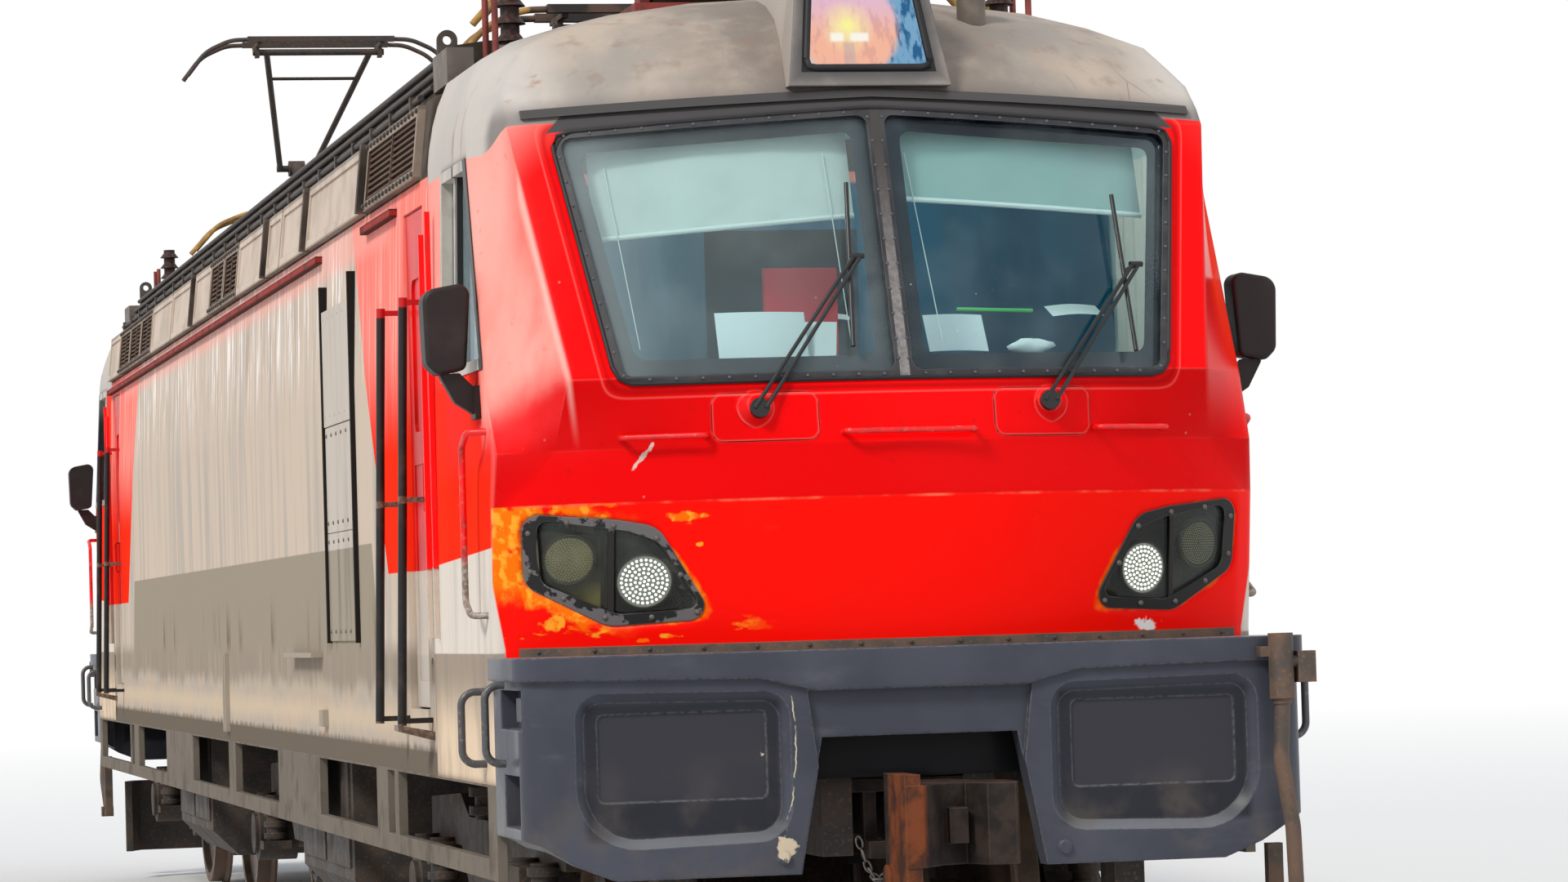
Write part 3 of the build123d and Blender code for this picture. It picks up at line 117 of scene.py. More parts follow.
# Papers on the desk: centre x, setback, z, width, depth, turn, tilt
paper_places = [
    (-0.46, 0.53, 2.955, 0.36, 0.19, 0.06, 1.25), (-0.3, 0.6, 2.93, 0.3, 0.17, -0.3, 1.1),
    (0.31, 0.52, 2.95, 0.25, 0.16, 0.16, 1.15), (0.87, 0.8, 3.045, 0.21, 0.14, 0.0, 0.35),
    (-0.15, 0.75, 3.03, 0.2, 0.1, 0.1, 0.3),
]


def shaded(colour, factor, lift=0.0):
    """A colour made darker or lighter."""
    return tuple(min(1.0, c * factor + lift) for c in colour)


def sides_of(outline):
    """Each side of a convex outline: its start, direction and normal towards the middle."""
    corners = [Vector(p) for p in outline]
    centre = sum(corners, Vector((0, 0))) / len(corners)
    found = []
    for start, end in zip(corners, corners[1:] + corners[:1]):
        along = (end - start).normalized()
        normal = Vector((-along.y, along.x))
        if normal.dot(centre - start) < 0:
            normal = -normal
        found.append((start, along, normal))
    return found


def put(tree, socket, value):
    """Sets a socket to a number or colour, or links it to a term or another socket."""
    value = value.socket if isinstance(value, Term) else value
    if isinstance(value, bpy.types.NodeSocket):
        tree.links.new(value, socket)
    elif isinstance(value, tuple) and len(value) == 3 and socket.type == "RGBA":
        socket.default_value = (*value, 1.0)
    else:
        socket.default_value = value


def new_node(tree, kind, inputs=None, **settings):
    """A new shader node, with its settings and then its inputs."""
    node = tree.nodes.new("ShaderNode" + kind)
    for name, value in settings.items():
        setattr(node, name, value)
    for name, value in (inputs or {}).items():
        put(tree, node.inputs[name], value)
    return node


class Term:
    """A number or colour in a material's nodes. The usual signs work on it, and | takes the larger."""

    def __init__(self, graph, socket):
        self.graph = graph
        self.socket = socket

    def __add__(self, other):
        return self.graph.math("ADD", self, other)

    def __sub__(self, other):
        return self.graph.math("SUBTRACT", self, other)

    def __rsub__(self, other):
        return self.graph.math("SUBTRACT", other, self)

    def __mul__(self, other):
        return self.graph.math("MULTIPLY", self, other)

    def __or__(self, other):
        return self.graph.math("MAXIMUM", self, other)

    def __abs__(self):
        return self.graph.math("ABSOLUTE", self)

    __radd__ = __add__
    __rmul__ = __mul__

    def ramp(self, low, high):
        """0 below low, 1 above high, smooth between."""
        node = self.graph.node("MapRange", {"Value": self, "From Min": low, "From Max": high},
                               interpolation_type="SMOOTHSTEP")
        return Term(self.graph, node.outputs["Result"])

    def above(self, edge, soft=0.002):
        return self.ramp(edge - soft, edge + soft)

    def below(self, edge, soft=0.002):
        return 1.0 - self.above(edge, soft)

    def between(self, low, high, soft=0.002):
        return self.above(low, soft) * self.below(high, soft)

    def blend(self, a, b):
        """Number a where this share is 0 and b where it is 1."""
        return (1.0 - self) * a + self * b


def largest(terms):
    """The largest of several numbers."""
    found, *others = terms
    for other in others:
        found = found | other
    return found


class Graph:
    """Short calls that build one material's nodes. Its x, y and z are the place on the object."""

    def __init__(self, name):
        self.material = bpy.data.materials.new(name)
        self.material.use_nodes = True
        self.tree = self.material.node_tree
        self.tree.nodes.clear()
        self.output = self.node("OutputMaterial")
        self.place = self.node("TexCoord").outputs["Object"]
        self.x, self.y, self.z = self.parts(self.place)
        self.side = abs(self.x)
        self.along = abs(self.y)
        self.setback = nose_plane - self.along

    @property
    def turned(self):
        """x from the middle towards the half that is on the left of the photo, at both ends."""
        return self.x * self.math("SIGN", self.y)

    @property
    def left(self):
        """1 on the half that is on the left of the photo, at both ends."""
        return self.turned.above(0.0, 0.001)

    def node(self, kind, inputs=None, **settings):
        return new_node(self.tree, kind, inputs, **settings)

    def parts(self, vector):
        """The x, y and z of a vector."""
        return [Term(self, part) for part in self.node("SeparateXYZ", {0: vector}).outputs]

    def facing(self):
        """The x, y and z of the surface's direction."""
        return self.parts(self.node("NewGeometry").outputs["Normal"])

    def math(self, operation, a, b=0.0, clamp=False):
        return Term(self, self.node("Math", {0: a, 1: b}, operation=operation, use_clamp=clamp).outputs[0])

    def held(self, a, b):
        """A product that stays between 0 and 1."""
        return self.math("MULTIPLY", a, b, clamp=True)

    def length(self, a, b):
        return self.math("SQRT", a * a + b * b)

    def soft_either(self, a, b, soft):
        """The larger of two numbers, rounded where they meet."""
        return Term(self, self.node("Math", {0: a, 1: b, 2: soft}, operation="SMOOTH_MAX").outputs[0])

    def stretched(self, stretch):
        return self.node("Mapping", {"Vector": self.place, "Scale": stretch}).outputs[0]

    def noise(self, scale, detail=3.0, stretch=(1.0, 1.0, 1.0), rough=0.55):
        inputs = {"Vector": self.stretched(stretch), "Scale": scale, "Detail": detail, "Roughness": rough}
        return Term(self, self.node("TexNoise", inputs).outputs["Fac"])

    def wobble(self, amount, *how):
        """Noise on both sides of 0, to make an edge uneven."""
        return (self.noise(*how) - 0.5) * amount

    def cells(self, scale, feature="F1", stretch=(1.0, 1.0, 1.0)):
        inputs = {"Vector": self.stretched(stretch), "Scale": scale}
        return Term(self, self.node("TexVoronoi", inputs, feature=feature).outputs["Distance"])

    def mix(self, share, a, b):
        """Colour a where share is 0 and b where it is 1."""
        inputs = {"Factor": share, "A": a, "B": b}
        return Term(self, self.node("Mix", inputs, data_type="RGBA").outputs["Result"])

    def mix_shader(self, share, a, b):
        """Shader a where share is 0 and b where it is 1."""
        return self.node("MixShader", {0: share, 1: a, 2: b}).outputs[0]

    def outside(self, outline, across, up, soft=0.0):
        """Distance outside a convex outline of (across, up) points, below 0 inside."""
        far = None
        for start, _, inward in sides_of(outline):
            reach = (across - start.x) * -inward.x + (up - start.y) * -inward.y
            far = reach if far is None else self.soft_either(far, reach, soft)
        return far

    def inward(self, centre_y, centre_z):
        """1 on the inner faces of a shell round a centre at both ends, 0 on its outer faces."""
        facing_x, facing_y, facing_z = self.facing()
        away_y = self.y - self.math("SIGN", self.y) * centre_y
        turn = facing_x * self.x + facing_y * away_y + facing_z * (self.z - centre_z)
        return turn.below(0.0, 0.001)

    def bevel(self, radius, samples=4):
        """The surface's direction with its edges rounded."""
        return self.node("Bevel", {"Radius": radius}, samples=samples).outputs[0]

    def edges(self, radius, strength=6.0):
        """Near 1 where the surface turns sharply, from the bevel of its own normals."""
        directions = {0: self.bevel(radius), 1: self.node("NewGeometry").outputs["Normal"]}
        dot = self.node("VectorMath", directions, operation="DOT_PRODUCT").outputs["Value"]
        return self.held(1.0 - Term(self, dot), strength)

    def show(self, shader):
        """The material with a shader on its surface."""
        put(self.tree, self.output.inputs[0], shader)
        return self.material

    def finish(self, colour, rough, metal, height, depth, strength, soft_edge=0.0, **plain):
        """The material with its paint; plain names more inputs of its shader."""
        bump = self.node("Bump", {"Distance": depth, "Strength": strength, "Height": height})
        if soft_edge:
            fine = soft_edge > 0.03
            put(self.tree, bump.inputs["Normal"], self.bevel(soft_edge, 8 if fine else 4))
        inputs = {"Base Color": colour, "Roughness": rough, "Metallic": metal, "Normal": bump.outputs[0]}
        inputs.update({name.replace("_", " "): value for name, value in plain.items()})
        return self.show(self.node("BsdfPrincipled", inputs).outputs[0])


def worn_paint(name, colour, rough, dirt, dirt_share, metal=0.0, gloss=0.3):
    """Paint with cloudy shade, dirt in patches, and bare or dirty edges."""
    g = Graph(name)
    cloud = g.noise(2.3, 5.0).ramp(0.35, 0.72)
    fine = g.noise(38.0, 4.0)
    shade = g.mix(cloud * 0.35, colour, shaded(colour, 0.62))
    patches = g.held(g.noise(5.0, 6.0).ramp(0.48, 0.72), dirt_share)
    shade = g.mix(patches, shade, dirt)
    wear = g.held(g.edges(0.004), fine.ramp(0.4, 0.6))
    shade = g.mix(wear * 0.6, shade, shaded(colour, 2.2, 0.03))
    return g.finish(shade, patches.blend(rough, min(1.0, rough + 0.3)), metal, fine, 0.0015, 0.25, 0.004,
                    Specular_IOR_Level=gloss)


def nose_paint():
    """The cab's red shell with grey cap, pale lower sides, the brighter lamp panel and worn seams."""
    g = Graph("nose_paint")
    normal = g.facing()
    fine = g.noise(45.0, 4.0)
    cloud = g.noise(1.6, 5.0).ramp(0.34, 0.7)
    streak = g.noise(6.0, 5.0, (1.0, 1.0, 0.09)).ramp(0.46, 0.72)
    # Red drawn paler where it faces the sky and deeper where it faces down: painted light and shade
    up = normal[2].ramp(-0.12, 0.4)
    red = g.mix(up, deep_red, signal_red)
    on_side = abs(normal[0]).above(0.8, 0.1) * g.setback.above(0.6, 0.1)
    red = g.mix(on_side, red, g.mix(cloud * 0.3, side_red, signal_red))
    # Painted sheen: slanting faces of the left half are drawn a little paler
    slanting = abs(normal[0]).ramp(0.35, 0.72) * g.z.above(2.52, 0.12)
    left = g.left
    red = g.mix(slanting * left * cloud.blend(0.18, 0.7), red, sheen_red)
    # Painted reflection of the sky: a pink sheen over the side facet of the left half, fading out at its
    # lower edge and towards the top
    facet = abs(normal[0]).ramp(0.62, 0.85) * g.setback.below(0.86, 0.06)
    lower_edge = g.z + (g.wobble(0.3, 2.4, 4.0) + (g.side - 1.4) * 0.9)
    facet = facet * left * lower_edge.ramp(2.6, 2.82) * g.z.ramp(3.1, 3.6).blend(1.0, 0.5)
    sheen = g.noise(2.6, 4.0, (1.0, 1.0, 0.5)).ramp(0.35, 0.62)
    red = g.mix(facet * sheen.blend(0.5, 0.85), red, (0.95, 0.42, 0.35))
    # Painted highlight: a pale line along the ridge of the left half's side facet
    ridge = g.side - (1.258 + (g.z - 2.8) * 0.154)
    ridge = ridge.between(-0.004, 0.01, 0.012) * g.z.ramp(2.5, 2.9) * left
    red = g.mix(ridge * g.setback.below(front_corner, 0.02), red, (0.97, 0.5, 0.43))
    # Upper cab side behind the corner drawn paler: faded paint, with a painted sheen that is strongest on
    # the left half
    high_side = g.setback.above(0.72, 0.1) * g.z.ramp(2.8, 3.3) * left.blend(0.1, 1.0)
    red = g.mix(high_side * cloud.blend(0.75, 1.0), red, faded_red)
    red = g.mix(g.noise(26.0, 6.0).ramp(0.62, 0.78) * 0.3, red, (0.3, 0.01, 0.01))
    specks = g.cells(9.0).below(0.05, 0.012) * g.noise(3.1).ramp(0.5, 0.6)
    red = g.mix(specks * 0.6, red, (0.5, 0.2, 0.15))
    # Lamp panel
    front = g.setback.below(front_corner, 0.004)
    panel = g.z.below(lamp_panel_top, 0.003) * front
    red = g.mix(panel, red, g.mix(cloud * 0.2, lamp_red, (0.78, 0.012, 0.004)))
    # Bare orange patches round the lamps and along the seam
    reach = g.outside(lamp_outline, g.side, g.z, 0.14)
    wobble = g.wobble(0.17, 9.0, 6.0)
    ring = (reach + wobble * 0.3).below(0.006, 0.012)
    halo = (reach + wobble).below(0.055, 0.02) * g.side.above(1.13, 0.14)
    corner = (g.side + wobble * 0.5).above(1.405, 0.015) * g.z.above(1.98, 0.06)
    blot = g.noise(6.5, 6.0, (0.5, 0.5, 1.3)).above(0.63, 0.02) * g.side.above(0.6, 0.15)
    near_seam = blot * (g.z.above(2.22, 0.04) | g.z.below(1.87, 0.04))
    halo_left = (halo | corner | near_seam) * left
    spot = (ring | halo_left) * panel * g.noise(17.0, 6.0, (0.6, 0.6, 1.0)).ramp(0.3, 0.46)
    red = g.mix(spot * left.blend(0.75, 0.95), red, lamp_orange)
    smudges = []
    for at_x, at_z, wide, tall in smudge_places:
        dx, dz = (g.turned - at_x) * (1.0 / wide), (g.z - at_z) * (1.0 / tall)
        smudges.append((g.length(dx, dz) + g.wobble(2.6, 21.0, 6.0)).below(0.75, 0.2))
    smudged = largest(smudges) * panel
    red = g.mix(smudged * 0.85, red, lamp_orange)
    yellow = (spot | smudged) * g.noise(19.0, 6.0).ramp(0.46, 0.6)
    red = g.mix(yellow * left.blend(0.3, 0.8), red, (1.0, 0.42, 0.03))
    # White scrape under the other lamp
    photo_end = g.y.below(0.0, 0.01)
    dx, dz = g.turned + 1.0, g.z - 1.79
    scrape = g.math("SQRT", dx * dx * 0.25 + dz * dz) + g.wobble(0.09, 14.0, 6.0)
    red = g.mix(scrape.below(0.026, 0.004) * photo_end * panel, red, (0.85, 0.8, 0.76))
    seam = g.z.between(2.308, 2.318, 0.0025)
    red = g.mix(seam * front * g.noise(7.0, 4.0).ramp(0.46, 0.72), red, (0.9, 0.13, 0.06))
    # Painted highlight: sharp edges, such as the ridge between the nose's face and its side facet, drawn
    # pale
    red = g.mix(g.edges(0.012, 9.0) * 0.4, red, (0.85, 0.24, 0.2))
    # Scrape under the left pane
    dz = g.z - 2.495
    lean = g.turned - 0.985 + dz * 0.8
    scrape = g.math("SQRT", lean * lean * 14.0 + dz * dz * 0.9)
    scrape = scrape + g.wobble(0.16, 30.0, 6.0, (1.0, 1.0, 0.45))
    red = g.mix(scrape.below(0.035, 0.006) * photo_end * 0.9, red, (0.62, 0.5, 0.42))
    # Pressed rib round the windshield, drawn as a painted shadow line with a painted highlight line outside
    # it
    rib = g.outside(surround, g.side, g.z, 0.12)
    red = g.mix(rib.between(0.002, 0.02, 0.008) * 0.6, red, (0.33, 0.001, 0.002))
    red = g.mix(rib.between(0.03, 0.036, 0.004) * 0.35, red, (0.95, 0.2, 0.17))
    # Pale lower side behind the corner, and the sill below it
    behind = g.setback.above(0.655, 0.004)
    low_line = 2.105 + (2.6 - g.setback) * 0.03
    pale = g.mix(streak * 0.5, cab_grey, (0.45, 0.41, 0.37))
    colour = g.mix(behind * (g.z - low_line).below(0.0, 0.003), red, pale)
    sill = g.mix(g.z.ramp(1.42, 1.7), (0.74, 0.58, 0.42), (0.37, 0.3, 0.235))
    sill = g.mix(g.noise(4.0, 5.0, (1.0, 1.0, 0.4)).ramp(0.4, 0.65) * 0.4, sill, (0.26, 0.23, 0.2))
    colour = g.mix(behind * g.z.below(1.757, 0.004), colour, sill)
    # Cap over the windshield and the grey top of the side
    stain = g.noise(2.1, 5.0, (1.0, 1.0, 0.5)).ramp(0.36, 0.66)
    cap = g.mix(stain, cap_grey, (0.47, 0.385, 0.31))
    cap = g.mix(g.noise(9.0, 7.0, (1.0, 1.0, 0.35)).ramp(0.53, 0.72) * 0.35, cap, (0.2, 0.13, 0.09))
    crack = g.cells(4.6, "DISTANCE_TO_EDGE", (1.0, 1.0, 0.2)).below(0.008, 0.006)
    crack = crack * g.noise(2.7, 3.0, (1.0, 1.0, 0.5)).ramp(0.58, 0.66)
    cap = g.mix(crack * g.side.below(1.2, 0.05) * 0.6, cap, (0.1, 0.075, 0.055))
    middle = g.side.below(0.7, 0.3) * g.noise(2.6, 5.0).ramp(0.3, 0.55)
    cap = g.mix(middle * 0.85, cap, (0.21, 0.178, 0.152))
    cap = g.mix(g.side.above(1.22, 0.16) * 0.7, cap, (0.6, 0.57, 0.53))
    # Darker over the strip above the windshield
    over_brow = g.z - (3.93 - g.side * 0.045)
    cap = g.mix(over_brow.below(0.0, 0.06) * g.setback.below(0.95, 0.05) * 0.7, cap, (0.13, 0.115, 0.11))
    top = (g.z - (3.8 + g.setback.ramp(0.7, 1.0) * -0.09)).above(0.0, 0.003)
    rust_run = g.noise(9.0, 5.0, (1.0, 1.0, 0.2)).ramp(0.62, 0.75) * g.setback.above(0.8, 0.1)
    cap = g.mix(rust_run * 0.6, cap, (0.33, 0.16, 0.09))
    colour = g.mix(top, colour, cap)
    # Dark frame band between the windshield's seal and the strip above it
    near_glass = g.setback.below(0.8, 0.02)
    over_seal = g.z - (3.838 - g.side * 0.062)
    band = over_seal.between(0.0, 0.07, 0.003) * (g.side + over_seal).below(1.262, 0.006) * near_glass
    band = band | rib.below(-0.024) * near_glass
    colour = g.mix(band, colour, (0.07, 0.066, 0.066))
    dull = top | behind * g.z.below(2.1, 0.01)
    # Behind the bumper the shell is painted near black as shade, and inside it is blue
    colour = g.mix(front * g.z.below(1.735, 0.003), colour, near_black)
    room = g.mix(g.side.above(1.02, 0.03), room_blue, room_pale)
    room = g.mix(g.z.above(3.5, 0.05), room, room_pale)
    colour = g.mix(g.inward(*room_middle), colour, g.mix(cloud * 0.3, room, (0.12, 0.3, 0.33)))
    return g.finish(colour, dull.blend(cloud.blend(0.18, 0.3), 0.62), 0.0, fine, 0.0012, 0.13, 0.05,
                    Specular_IOR_Level=on_side.blend(0.05, 0.0))


def side_paint():
    """The long body: red wedges at its ends, pale middle, darker band and a dirty sill."""
    g = Graph("side_paint")
    fine = g.noise(40.0, 4.0)
    cloud = g.noise(1.3, 5.0).ramp(0.35, 0.7)
    streak = g.noise(7.0, 5.0, (1.0, 1.0, 0.07)).ramp(0.44, 0.68)
    runs = g.noise(20.0, 4.0, (1.0, 1.0, 0.05)).ramp(0.5, 0.66)
    pale = g.mix(streak * 0.5, pale_grey, (0.42, 0.41, 0.385))
    # Painted reflections of the wavy metal on the upper side: pale runs and glints, and darker streaks
    # between them
    pale = g.mix(runs * g.z.ramp(2.9, 3.6) * 0.85, pale, highlight_grey)
    glints = g.noise(15.0, 5.0, (1.0, 1.0, 0.11)).ramp(0.56, 0.62) * g.z.ramp(2.95, 3.4)
    pale = g.mix(glints * 0.8, pale, (0.95, 0.9, 0.86))
    dark_reflection = g.noise(11.0, 5.0, (1.0, 1.0, 0.1)).ramp(0.55, 0.64) * g.z.ramp(2.8, 3.4)
    pale = g.mix(dark_reflection * 0.55, pale, (0.36, 0.3, 0.25))
    pale = g.mix(streak * g.z.below(3.0, 0.4) * 0.25, pale, (0.3, 0.28, 0.25))
    band = g.mix(streak * 0.45, mid_grey, (0.33, 0.29, 0.23))
    grime = g.noise(5.0, 5.0, (1.0, 1.0, 0.12)).ramp(0.55, 0.7) * g.z.below(1.95, 0.15)
    band = g.mix(grime, band, (0.2, 0.165, 0.12))
    band_end = 4.16 + (band_top - g.z) * -0.35
    in_band = g.z.below(band_top, 0.003) * (g.setback - band_end).above(0.0, 0.004)
    colour = g.mix(in_band, pale, band)
    # Red wedge whose edge leans towards the middle as it rises
    edge = 3.53 + (g.z - 1.975) * 0.69
    red = g.mix(cloud * 0.3, side_red, deep_red)
    faded = runs.blend(0.55, 1.0) * g.z.ramp(2.6, 3.2)
    red = g.mix(faded, red, faded_red)
    in_red = (g.setback - edge).below(0.0, 0.004) * g.z.above(red_foot, 0.003)
    colour = g.mix(in_red, colour, red)
    rail_red = g.z.above(3.57, 0.05) * g.setback.above(3.5, 0.05)
    colour = g.mix(rail_red * runs.blend(0.6, 0.2), colour, faded_red)
    dirty = 1.6 + g.wobble(0.25, 3.0, 5.0, (1.0, 1.0, 0.3))
    low_grey = g.mix(streak * 0.5, (0.33, 0.275, 0.22), (0.43, 0.365, 0.29))
    colour = g.mix(g.z.below(1.78, 0.06), colour, low_grey)
    sill = g.mix(g.noise(3.0, 5.0, (1.0, 0.5, 1.0)).ramp(0.4, 0.62), sill_grey, (0.52, 0.42, 0.33))
    tide = (g.z - g.noise(9.0, 4.0, (1.0, 1.0, 0.0)) * 0.1).between(1.36, 1.46, 0.04)
    sill = g.mix(tide * 0.6, sill, (0.66, 0.52, 0.37))
    foot = 1.32 + g.noise(8.0, 4.0, (1.0, 1.0, 0.0)) * 0.08
    sill = g.mix((g.z - foot).below(0.0, 0.02) * 0.85, sill, (0.17, 0.14, 0.11))
    colour = g.mix((g.z - dirty).below(0.0, 0.05), colour, sill)
    # Roof, ledge and well
    roof = g.mix(g.noise(4.0, 6.0).ramp(0.4, 0.65), (0.055, 0.045, 0.038), (0.12, 0.1, 0.083))
    colour = g.mix(g.z.above(3.745, 0.004), colour, roof)
    room = g.side.below(1.475) * g.z.below(3.7, 0.01)
    drapes = g.noise(3.2, 4.0, (1.0, 1.0, 0.25)).ramp(0.42, 0.62)
    # The wall is drawn darker on the right half, as painted shade
    wall = g.mix(g.turned.above(0.0, 0.3), (0.012, 0.115, 0.2), (0.085, 0.19, 0.26))
    wall = g.mix(drapes * 0.55, wall, (0.008, 0.055, 0.1))
    colour = g.mix(room, colour, wall)
    colour = g.mix(g.z.below(1.345, 0.004), colour, (0.17, 0.14, 0.11))
    wave = g.noise(1.1, 2.0, (0.3, 0.55, 0.8))
    height = fine * 0.15 + wave
    return g.finish(colour, streak.blend(0.36, 0.55), 0.0, height, 0.014, 0.4, 0.004,
                    Specular_IOR_Level=0.0)


def door_paint():
    """Red above, pale grey below, as the body beside the door."""
    g = Graph("door_paint")
    cloud = g.noise(2.0, 5.0).ramp(0.35, 0.7)
    fine = g.noise(40.0, 4.0)
    red = g.mix(cloud, (0.75, 0.003, 0.003), (0.45, 0.002, 0.002))
    colour = g.mix(g.z.below(red_foot, 0.003), red, g.mix(cloud, pale_grey, (0.42, 0.38, 0.33)))
    colour = g.mix(g.z.below(1.75, 0.01), colour, sill_grey)
    inside = g.side.below(body_half - 0.045)
    colour = g.mix(inside, colour, (0.5, 0.5, 0.48))
    return g.finish(colour, 0.36, 0.0, fine, 0.001, 0.15, 0.004, Specular_IOR_Level=0.2)


def rail_paint():
    """Handrails: red on the nose, grey where they pass the pale paint, dark beside the bumper."""
    g = Graph("rail_paint")
    fine = g.noise(50.0, 5.0)
    red = g.mix(g.noise(8.0, 5.0).ramp(0.45, 0.7), (0.8, 0.004, 0.004), (0.4, 0.01, 0.01))
    grey = g.mix(fine.ramp(0.4, 0.6), (0.36, 0.3, 0.25), (0.16, 0.11, 0.085))
    colour = g.mix(g.z.below(2.12, 0.03) * g.setback.above(0.5, 0.01), red, grey)
    colour = g.mix(g.z.below(1.75, 0.004), colour, (0.07, 0.07, 0.075))
    colour = g.mix(fine.ramp(0.56, 0.68) * 0.5, colour, (0.3, 0.2, 0.15))
    return g.finish(colour, 0.4, 0.0, fine, 0.001, 0.2)


def door_rail_paint():
    """Tall rails beside the doors: black, with red top brackets and rusty steps."""
    g = Graph("door_rail_paint")
    fine = g.noise(50.0, 5.0)
    black = g.mix(g.noise(6.0, 5.0).ramp(0.5, 0.75), (0.012, 0.011, 0.011), (0.05, 0.035, 0.028))
    colour = g.mix(g.z.above(3.205, 0.004), black, (0.5, 0.008, 0.01))
    rust = g.mix(fine.ramp(0.4, 0.6), (0.2, 0.13, 0.09), (0.09, 0.06, 0.045))
    colour = g.mix(g.z.below(1.468, 0.003), colour, rust)
    clamp = g.z.between(2.385, 2.415) * g.side.above(1.5, 0.01)
    colour = g.mix(clamp, colour, rust)
    return g.finish(colour, 0.42, 0.0, fine, 0.001, 0.2, 0.004, Specular_IOR_Level=0.3)


def hatch_paint():
    """Roof-edge panels: plain ones beige, the louvres and posts dark brown."""
    g = Graph("hatch_paint")
    fine = g.noise(45.0, 5.0)
    cloud = g.noise(3.0, 6.0).ramp(0.38, 0.66)
    # The row of the -X side reads from one end, that of the +X side from the other
    place = nose_plane + g.y * (g.math("SIGN", g.x) * -1.0)
    dark = largest([place.between(start, end, 0.004) for start, end in posts])
    grille = largest([place.between(start, end, 0.004) for start, end in grilles])
    mesh = largest([place.between(start + grille_rim, end - grille_rim, 0.003) for start, end in grilles])
    mesh = mesh * g.z.between(3.8, 4.025, 0.003)
    plain = g.mix(cloud * 0.6, beige, (0.36, 0.29, 0.23))
    post = g.mix(cloud, (0.03, 0.024, 0.02), (0.09, 0.065, 0.05))
    colour = g.mix(dark, plain, post)
    colour = g.mix(grille, colour, g.mix(cloud, (0.33, 0.26, 0.2), (0.2, 0.15, 0.115)))
    colour = g.mix(mesh, colour, g.mix(cloud, (0.075, 0.042, 0.028), (0.11, 0.068, 0.045)))
    low_rim = g.z.below(3.765, 0.004) | g.z.above(4.05, 0.004)
    colour = g.mix(low_rim * 0.6, colour, (0.12, 0.09, 0.07))
    colour = g.mix(g.edges(0.006) * (1.0 - mesh) * 0.4, colour, (0.2, 0.15, 0.11))
    return g.finish(colour, 0.62, 0.0, fine, 0.0015, 0.3, Specular_IOR_Level=0.15)


def cover_paint():
    """Side covers: plates as the body beside them, black edge strips, red gutter."""
    g = Graph("cover_paint")
    fine = g.noise(45.0, 4.0)
    streak = g.noise(6.0, 5.0, (1.0, 1.0, 0.1)).ramp(0.44, 0.68)
    pale = g.mix(streak * 0.6, (0.55, 0.49, 0.43), (0.4, 0.34, 0.28))
    colour = g.mix(g.z.below(2.25, 0.004), pale, g.mix(streak, mid_grey, (0.2, 0.18, 0.15)))
    strips = g.setback.between(4.62, 4.662) | g.setback.between(5.708, 5.75)
    colour = g.mix(strips * g.z.above(1.78, 0.01), colour, (0.02, 0.017, 0.015))
    gutter = g.z.above(3.62, 0.01)
    colour = g.mix(gutter, colour, g.mix(streak, (0.33, 0.035, 0.028), (0.13, 0.022, 0.018)))
    lips = gutter * (g.z.below(3.662) | g.z.above(3.684))
    colour = g.mix(lips * 0.8, colour, (0.04, 0.02, 0.018))
    colour = g.mix(g.z.below(1.77, 0.01), colour, (0.36, 0.31, 0.25))
    return g.finish(colour, 0.5, 0.0, fine, 0.001, 0.25, 0.003, Specular_IOR_Level=0.01)


def roof_lamp_paint():
    """Spotlight housing: grey paint with a painted highlight on its flanks, and a black gasket round the
    pane.
    """
    g = Graph("roof_lamp_paint")
    fine = g.noise(45.0, 5.0)
    stain = g.noise(5.0, 6.0).ramp(0.4, 0.65)
    colour = g.mix(stain, (0.17, 0.155, 0.145), (0.27, 0.235, 0.205))
    # Painted highlight: faces turned sideways drawn pale
    flank_highlight = abs(g.facing()[0]).above(0.5, 0.2)
    colour = g.mix(flank_highlight * 0.75, colour, (0.5, 0.43, 0.37))
    reach = g.outside(roof_pane, g.x, g.z)
    front = g.setback.below(0.76, 0.02)
    colour = g.mix(reach.below(0.05, 0.03) * front * 0.7, colour, (0.05, 0.048, 0.05))
    colour = g.mix(reach.below(0.018) * front, colour, (0.008, 0.008, 0.009))
    return g.finish(colour, 0.5, 0.0, fine, 0.001, 0.25, 0.012, Specular_IOR_Level=0.3)


